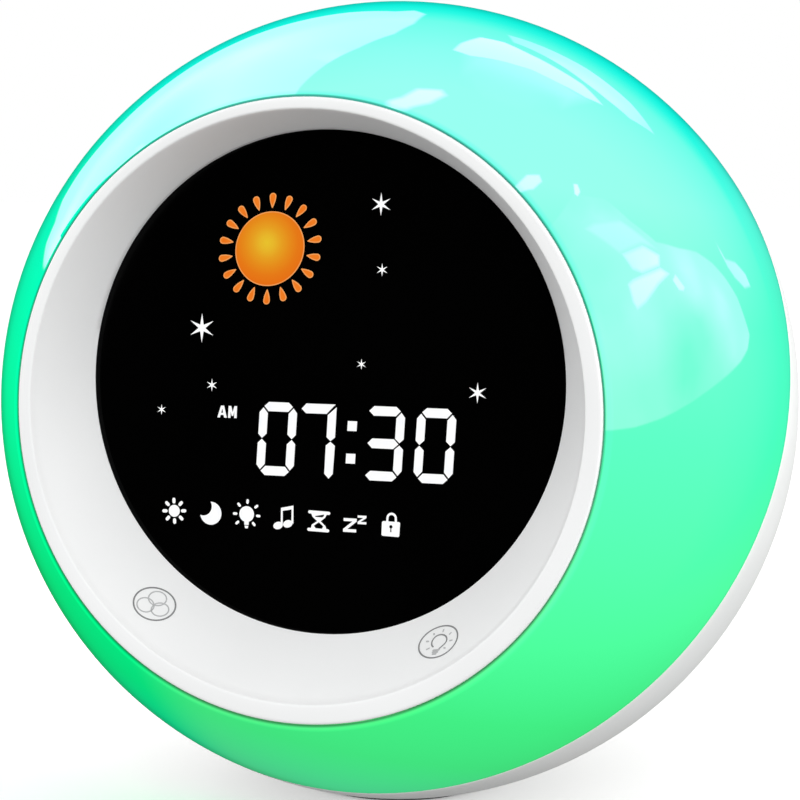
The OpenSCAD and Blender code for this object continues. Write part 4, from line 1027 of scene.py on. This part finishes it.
for name, (x, y) in keyPlaces.items():
    cap = turnRings("keyCap_" + name, keyCap["rings"], keyCap["sides"], "capped")
    sign = flatShape("keySign_" + name, keySigns[name], 0)
    printOn(sign, shift(0, 0, keyCap["signHeight"]), cap, keyCap["signDepth"],
            keyCap["signDepth"])
    spot = backFrame @ shift(x, y)
    finishPiece(cap, spot, keyAbs, name + "_key", ["key_" + name], 40)
    finishPiece(sign, spot, keyInk, name + "_key", crease=60)
print("keys")


knob = {"place": (-18.5, -22), "size": (4, 2.2), "plate": (8.5, 4.2), "foot": (2, 1.5),
        "heights": (63.54, 67.99, 68.79, 72.34), "bevel": 0.3,
        "grooves": 3, "grooveStep": 0.95, "grooveWidth": 0.35, "grooveDepth": 0.25}

footLow, plateLow, plateHigh, knobTop = knob["heights"]
switchKnob = addBox("switchKnob", (*knob["plate"], plateHigh - plateLow),
                    (0, 0, (plateLow + plateHigh) / 2))
for level, size, reach, way in ((plateHigh, knob["size"], knobTop - plateHigh, 1),
                                (plateLow, knob["foot"], plateLow - footLow, -1)):
    pick(switchKnob, "FACE", lambda co, normal: normal.z * way > 0.9 and abs(co.z - level) < 0.01)
    bpy.ops.mesh.extrude_region_move(TRANSFORM_OT_translate={"value": (0, 0, 0)})
    bpy.ops.transform.resize(value=(size[0] / knob["plate"][0], size[1] / knob["plate"][1], 1),
                             center_override=(0, 0, level))
    bpy.ops.mesh.extrude_region_move(TRANSFORM_OT_translate={"value": (0, 0, way * reach)})
    objectMode()
roundEdges(switchKnob, lambda a, b: max(a.z, b.z) > plateHigh + 1, knob["bevel"], 3)
grooves = [addBox("knobGroove", (knob["grooveWidth"], 6, 2 * knob["grooveDepth"]),
                  ((step - 1) * knob["grooveStep"], 0, knobTop)) for step in range(knob["grooves"])]
carve(switchKnob, joinUp(grooves, "knobGrooves"))
finishPiece(switchKnob, backFrame @ shift(*knob["place"]), knobAbs,
            "switch_slider", ["switch_knob"])


# plated or bare metal, drawn or rolled: bright, with fine lines along the pull
def platedSteel(name, colour, darker, roughness=0.25, stretch=(1, 1, 0.05), spacing=0.3):
    material, tree, place = startMaterial(name)
    lay = addNode(tree, "Mapping", {"Scale": stretch, "Vector": place})
    lines = addNode(tree, "TexNoise", {"Scale": 1000 / spacing, "Detail": 3, "Vector": lay})
    tone = addNode(tree, "ValToRGB", {0: lines}, [(0.3, darker), (0.7, colour)])
    rough = addNode(tree, "MapRange",
                    {0: lines, "To Min": roughness - 0.08, "To Max": roughness + 0.1})
    bump = addNode(tree, "Bump", {"Strength": 1, "Distance": 0.004 * milli, "Height": lines})
    return endMaterial(material, {"Metallic": 1, "Base Color": tone, "Roughness": rough,
                       "Normal": bump})


nickelSteel = platedSteel("nickelPlatedSteel", "#C9C8C4", "#B4B3AF", 0.24, (1, 0.08, 1), 0.3)
zincSteel = platedSteel("zincPlatedScrewSteel", "#B9BBBD", "#9FA2A5", 0.32, (1, 1, 1), 0.4)
blackNylon = mouldedPlastic("mouldedBlackNylon", "#1B1C1E", "#141517", 0.45, 0.3, 0.01)

socket = {"outer": (8.94, 3.2), "inner": (8.34, 2.6), "low": 61.34, "floor": 63.34, "top": 70.44,
          "bevel": 0.08, "tongue": (6.6, 0.7), "tongueTop": 69.64, "tongueFoot": 62.94,
          "tongueBevel": 0.12}

usbShell = slotSolid("usbShell", 0, 0, *socket["outer"], socket["low"], socket["top"], 48)
carve(usbShell, slotSolid("usbHollow", 0, 0, *socket["inner"], socket["floor"], socket["top"] + 1,
                          48))
roundEdges(usbShell, lambda a, b: min(a.z, b.z) > socket["top"] - 0.01, socket["bevel"], 2)
socketPlace = backFrame @ shift(*back["socket"][:2])
finishPiece(usbShell, socketPlace, nickelSteel, "case", ["usb_socket"])
usbTongue = addBox("usbTongue", (*socket["tongue"], socket["tongueTop"] - socket["tongueFoot"]),
                   (0, 0, (socket["tongueTop"] + socket["tongueFoot"]) / 2))
roundEdges(usbTongue, lambda a, b: abs(a.z - b.z) > 1 or a.z + b.z > 2 * socket["tongueTop"] - 0.1,
           socket["tongueBevel"], 2)
finishPiece(usbTongue, socketPlace, blackNylon)

screw = {
    "rings": [(1.45, -8), (1.45, -22.5), (3.4, -22.5), (3.4, -23.6), (3.25, -24.05), (2.9, -24.4),
              (2.3, -24.62), (1.4, -24.7)],
    "sides": 40, "top": -24.7, "cross": (3.6, 0.9, 1.1), "crossFoot": 0.6,
    "turns": (12, 58, 33, 80),
}
oneScrew = turnRings("caseScrew", screw["rings"], screw["sides"], "capped")
length, width, depth = screw["cross"]
for turn in (0, pi / 2):
    blade = addBox("blade", (length, width, 2 * depth), (0, 0, screw["top"]))
    settle(blade, Matrix.Rotation(turn, 4, "Z"))
    pick(blade, "FACE", lambda co, normal: normal.z > 0.9)
    bpy.ops.transform.resize(value=(screw["crossFoot"], screw["crossFoot"], 1),
                             center_override=(0, 0, screw["top"] + depth))
    objectMode()
    carve(oneScrew, blade)
caseScrews = [copyOf(oneScrew, "caseScrews", seamFrame @ shift(x, y)
                     @ Matrix.Rotation(radians(turn), 4, "Z"))
              for (x, y), turn in zip(back["wells"], screw["turns"])]
bpy.data.objects.remove(oneScrew)
finishPiece(joinUp(caseScrews, "caseScrews"), standing, zincSteel, "case", ["case_screws"])

pad = {
    "sides": 96, "grooves": (15, 11.5, 8, 4.5), "grooveWidth": 0.9, "grooveDepth": 0.35,
    "edge": [(18.1, 1.6), (18.4, 1.5), (18.5, 1.3), (18.5, 0.35), (18.4, 0.12), (18.15, 0)],
}
padRings = list(pad["edge"])
wide, deep = pad["grooveWidth"] / 2, pad["grooveDepth"]
for grooveR in pad["grooves"]:
    padRings += [(grooveR + wide, 0), (grooveR + wide * 0.6, deep), (grooveR - wide * 0.6, deep),
                 (grooveR - wide, 0)]
basePad = turnRings("basePad", padRings, pad["sides"], "capped")

# moulded silicone rubber: dark grey, matte, with dust-soft shading
siliconeRubber = mouldedPlastic("mouldedSiliconeRubber", "#4A4C4E", "#424446", 0.75, 0.5, 0.02,
                                8, 0.02)
finishPiece(basePad, standing, siliconeRubber, "case", ["base_pad"])
print("knob, socket, screws and pad")


# solder mask over copper: a flat colour with slightly raised, lighter tracks
def solderMask(name, mask, track, pitch=1.6):
    material, tree, place = startMaterial(name)
    way = addNode(tree, "Mapping", {"Rotation": (radians(3.3), 0, 0), "Scale": (1000 / pitch,) * 3,
                  "Vector": place})
    flat = addNode(tree, "SeparateXYZ", {0: way})
    plane = addNode(tree, "CombineXYZ", {"X": flat.outputs["X"], "Y": flat.outputs["Z"]})
    tracks = addNode(tree, "TexBrick", {"Scale": 1, "Mortar Size": 0.12, "Color1": (0, 0, 0, 1),
                     "Color2": (0, 0, 0, 1), "Mortar": (1, 1, 1, 1), "Brick Width": 5,
                     "Row Height": 1, "Vector": plane})
    tone = addNode(tree, "ValToRGB", {0: tracks}, [(0, mask), (1, track)])
    bump = addNode(tree, "Bump", {"Strength": 0.6, "Distance": 0.03 * milli, "Height": tracks})
    return endMaterial(material, {"Roughness": 0.35, "Specular IOR Level": 0.5, "Base Color": tone,
                       "Normal": bump})


# pressed pulp or foam: matte, with fibres or cells about 1 mm long
def pressedPulp(name, colour, darker, fibre=0.9, depth=0.08):
    material, tree, place = startMaterial(name)
    lay = addNode(tree, "Mapping", {"Scale": (1, 1, 3), "Vector": place})
    fibres = addNode(tree, "TexNoise", {"Scale": 1000 / fibre, "Detail": 4, "Distortion": 1.2,
                     "Vector": lay})
    tone = addNode(tree, "ValToRGB", {0: fibres}, [(0.3, darker), (0.7, colour)])
    bump = addNode(tree, "Bump", {"Strength": 1, "Distance": depth * milli, "Height": fibres})
    return endMaterial(material, {"Roughness": 0.9, "Specular IOR Level": 0.15, "Base Color": tone,
                       "Normal": bump})


slotFinishes = {
    # the lens is cast acrylic, smoked and hard-coated: black with a clean, weak gloss
    "lens_plastic": mouldedPlastic("smokedCastAcrylic", "#020202", "#010101", 0.12, 2, 0.0005, 20,
                                   0.002, 1.49, 0.12),
    "film": mouldedPlastic("printedPolyesterFilm", "#0E0E10", "#0A0A0B", 0.5, 0.6, 0.002),
    "inner_plastic": mouldedPlastic("uncolouredAbs", "#E9E7DF", "#DFDDD4", 0.42, 0.5, 0.01),
    "black_plastic": blackNylon,
    "green_board": solderMask("greenSolderMask", "#175A33", "#2C7A49"),
    "white_board": solderMask("whiteSolderMask", "#E8EAE6", "#F6F7F4"),
    "lamp": mouldedPlastic("yellowLampResin", "#F2E58C", "#E9D977", 0.15, 0.4, 0.002),
    "steel": zincSteel,
    "gold_spring": platedSteel("goldPlatedSpringWire", "#DDB96A", "#C9A253", 0.2),
    "chip": mouldedPlastic("blackEpoxy", "#202123", "#18191A", 0.6, 0.2, 0.01),
    "can": platedSteel("drawnAluminiumCan", "#C9CBCD", "#B7B9BC", 0.25),
    "connector": mouldedPlastic("creamNylon", "#EEE8D6", "#E3DCC8", 0.4, 0.4, 0.006),
    "cell_wrap": mouldedPlastic("shrunkPvcSleeve", "#2E6FA6", "#28638F", 0.22, 3, 0.01),
    "foam": pressedPulp("closedCellFoam", "#3A3B3D", "#232425", 0.5, 0.1),
    "cone_paper": pressedPulp("pressedPaperCone", "#37383A", "#26272A", 0.9, 0.08),
    "magnet": platedSteel("sinteredFerrite", "#6B6C6E", "#57585A", 0.5, (1, 1, 1), 0.4),
    "key_plastic": keyAbs,
    "knob_plastic": knobAbs,
    "pad_rubber": siliconeRubber,
    "ribbon": mouldedPlastic("polyesterRibbon", "#D8D9D6", "#C6C8C5", 0.3, 1.0, 0.01),
    "wire_jacket": mouldedPlastic("softPvcRed", "#B3302A", "#A02822", 0.4, 0.5, 0.01),
    "signal_wire": mouldedPlastic("softPvcGrey", "#9A9C9E", "#8B8D8F", 0.4, 0.5, 0.01),
}
for row in frame["record"]["subparts"]:
    node = frame["nodes"][row["node"]]
    if not node.hide_render:
        node.data.materials.clear()
        node.data.materials.append(slotFinishes[row["material_slot"]])
print("finishes of the inner parts")
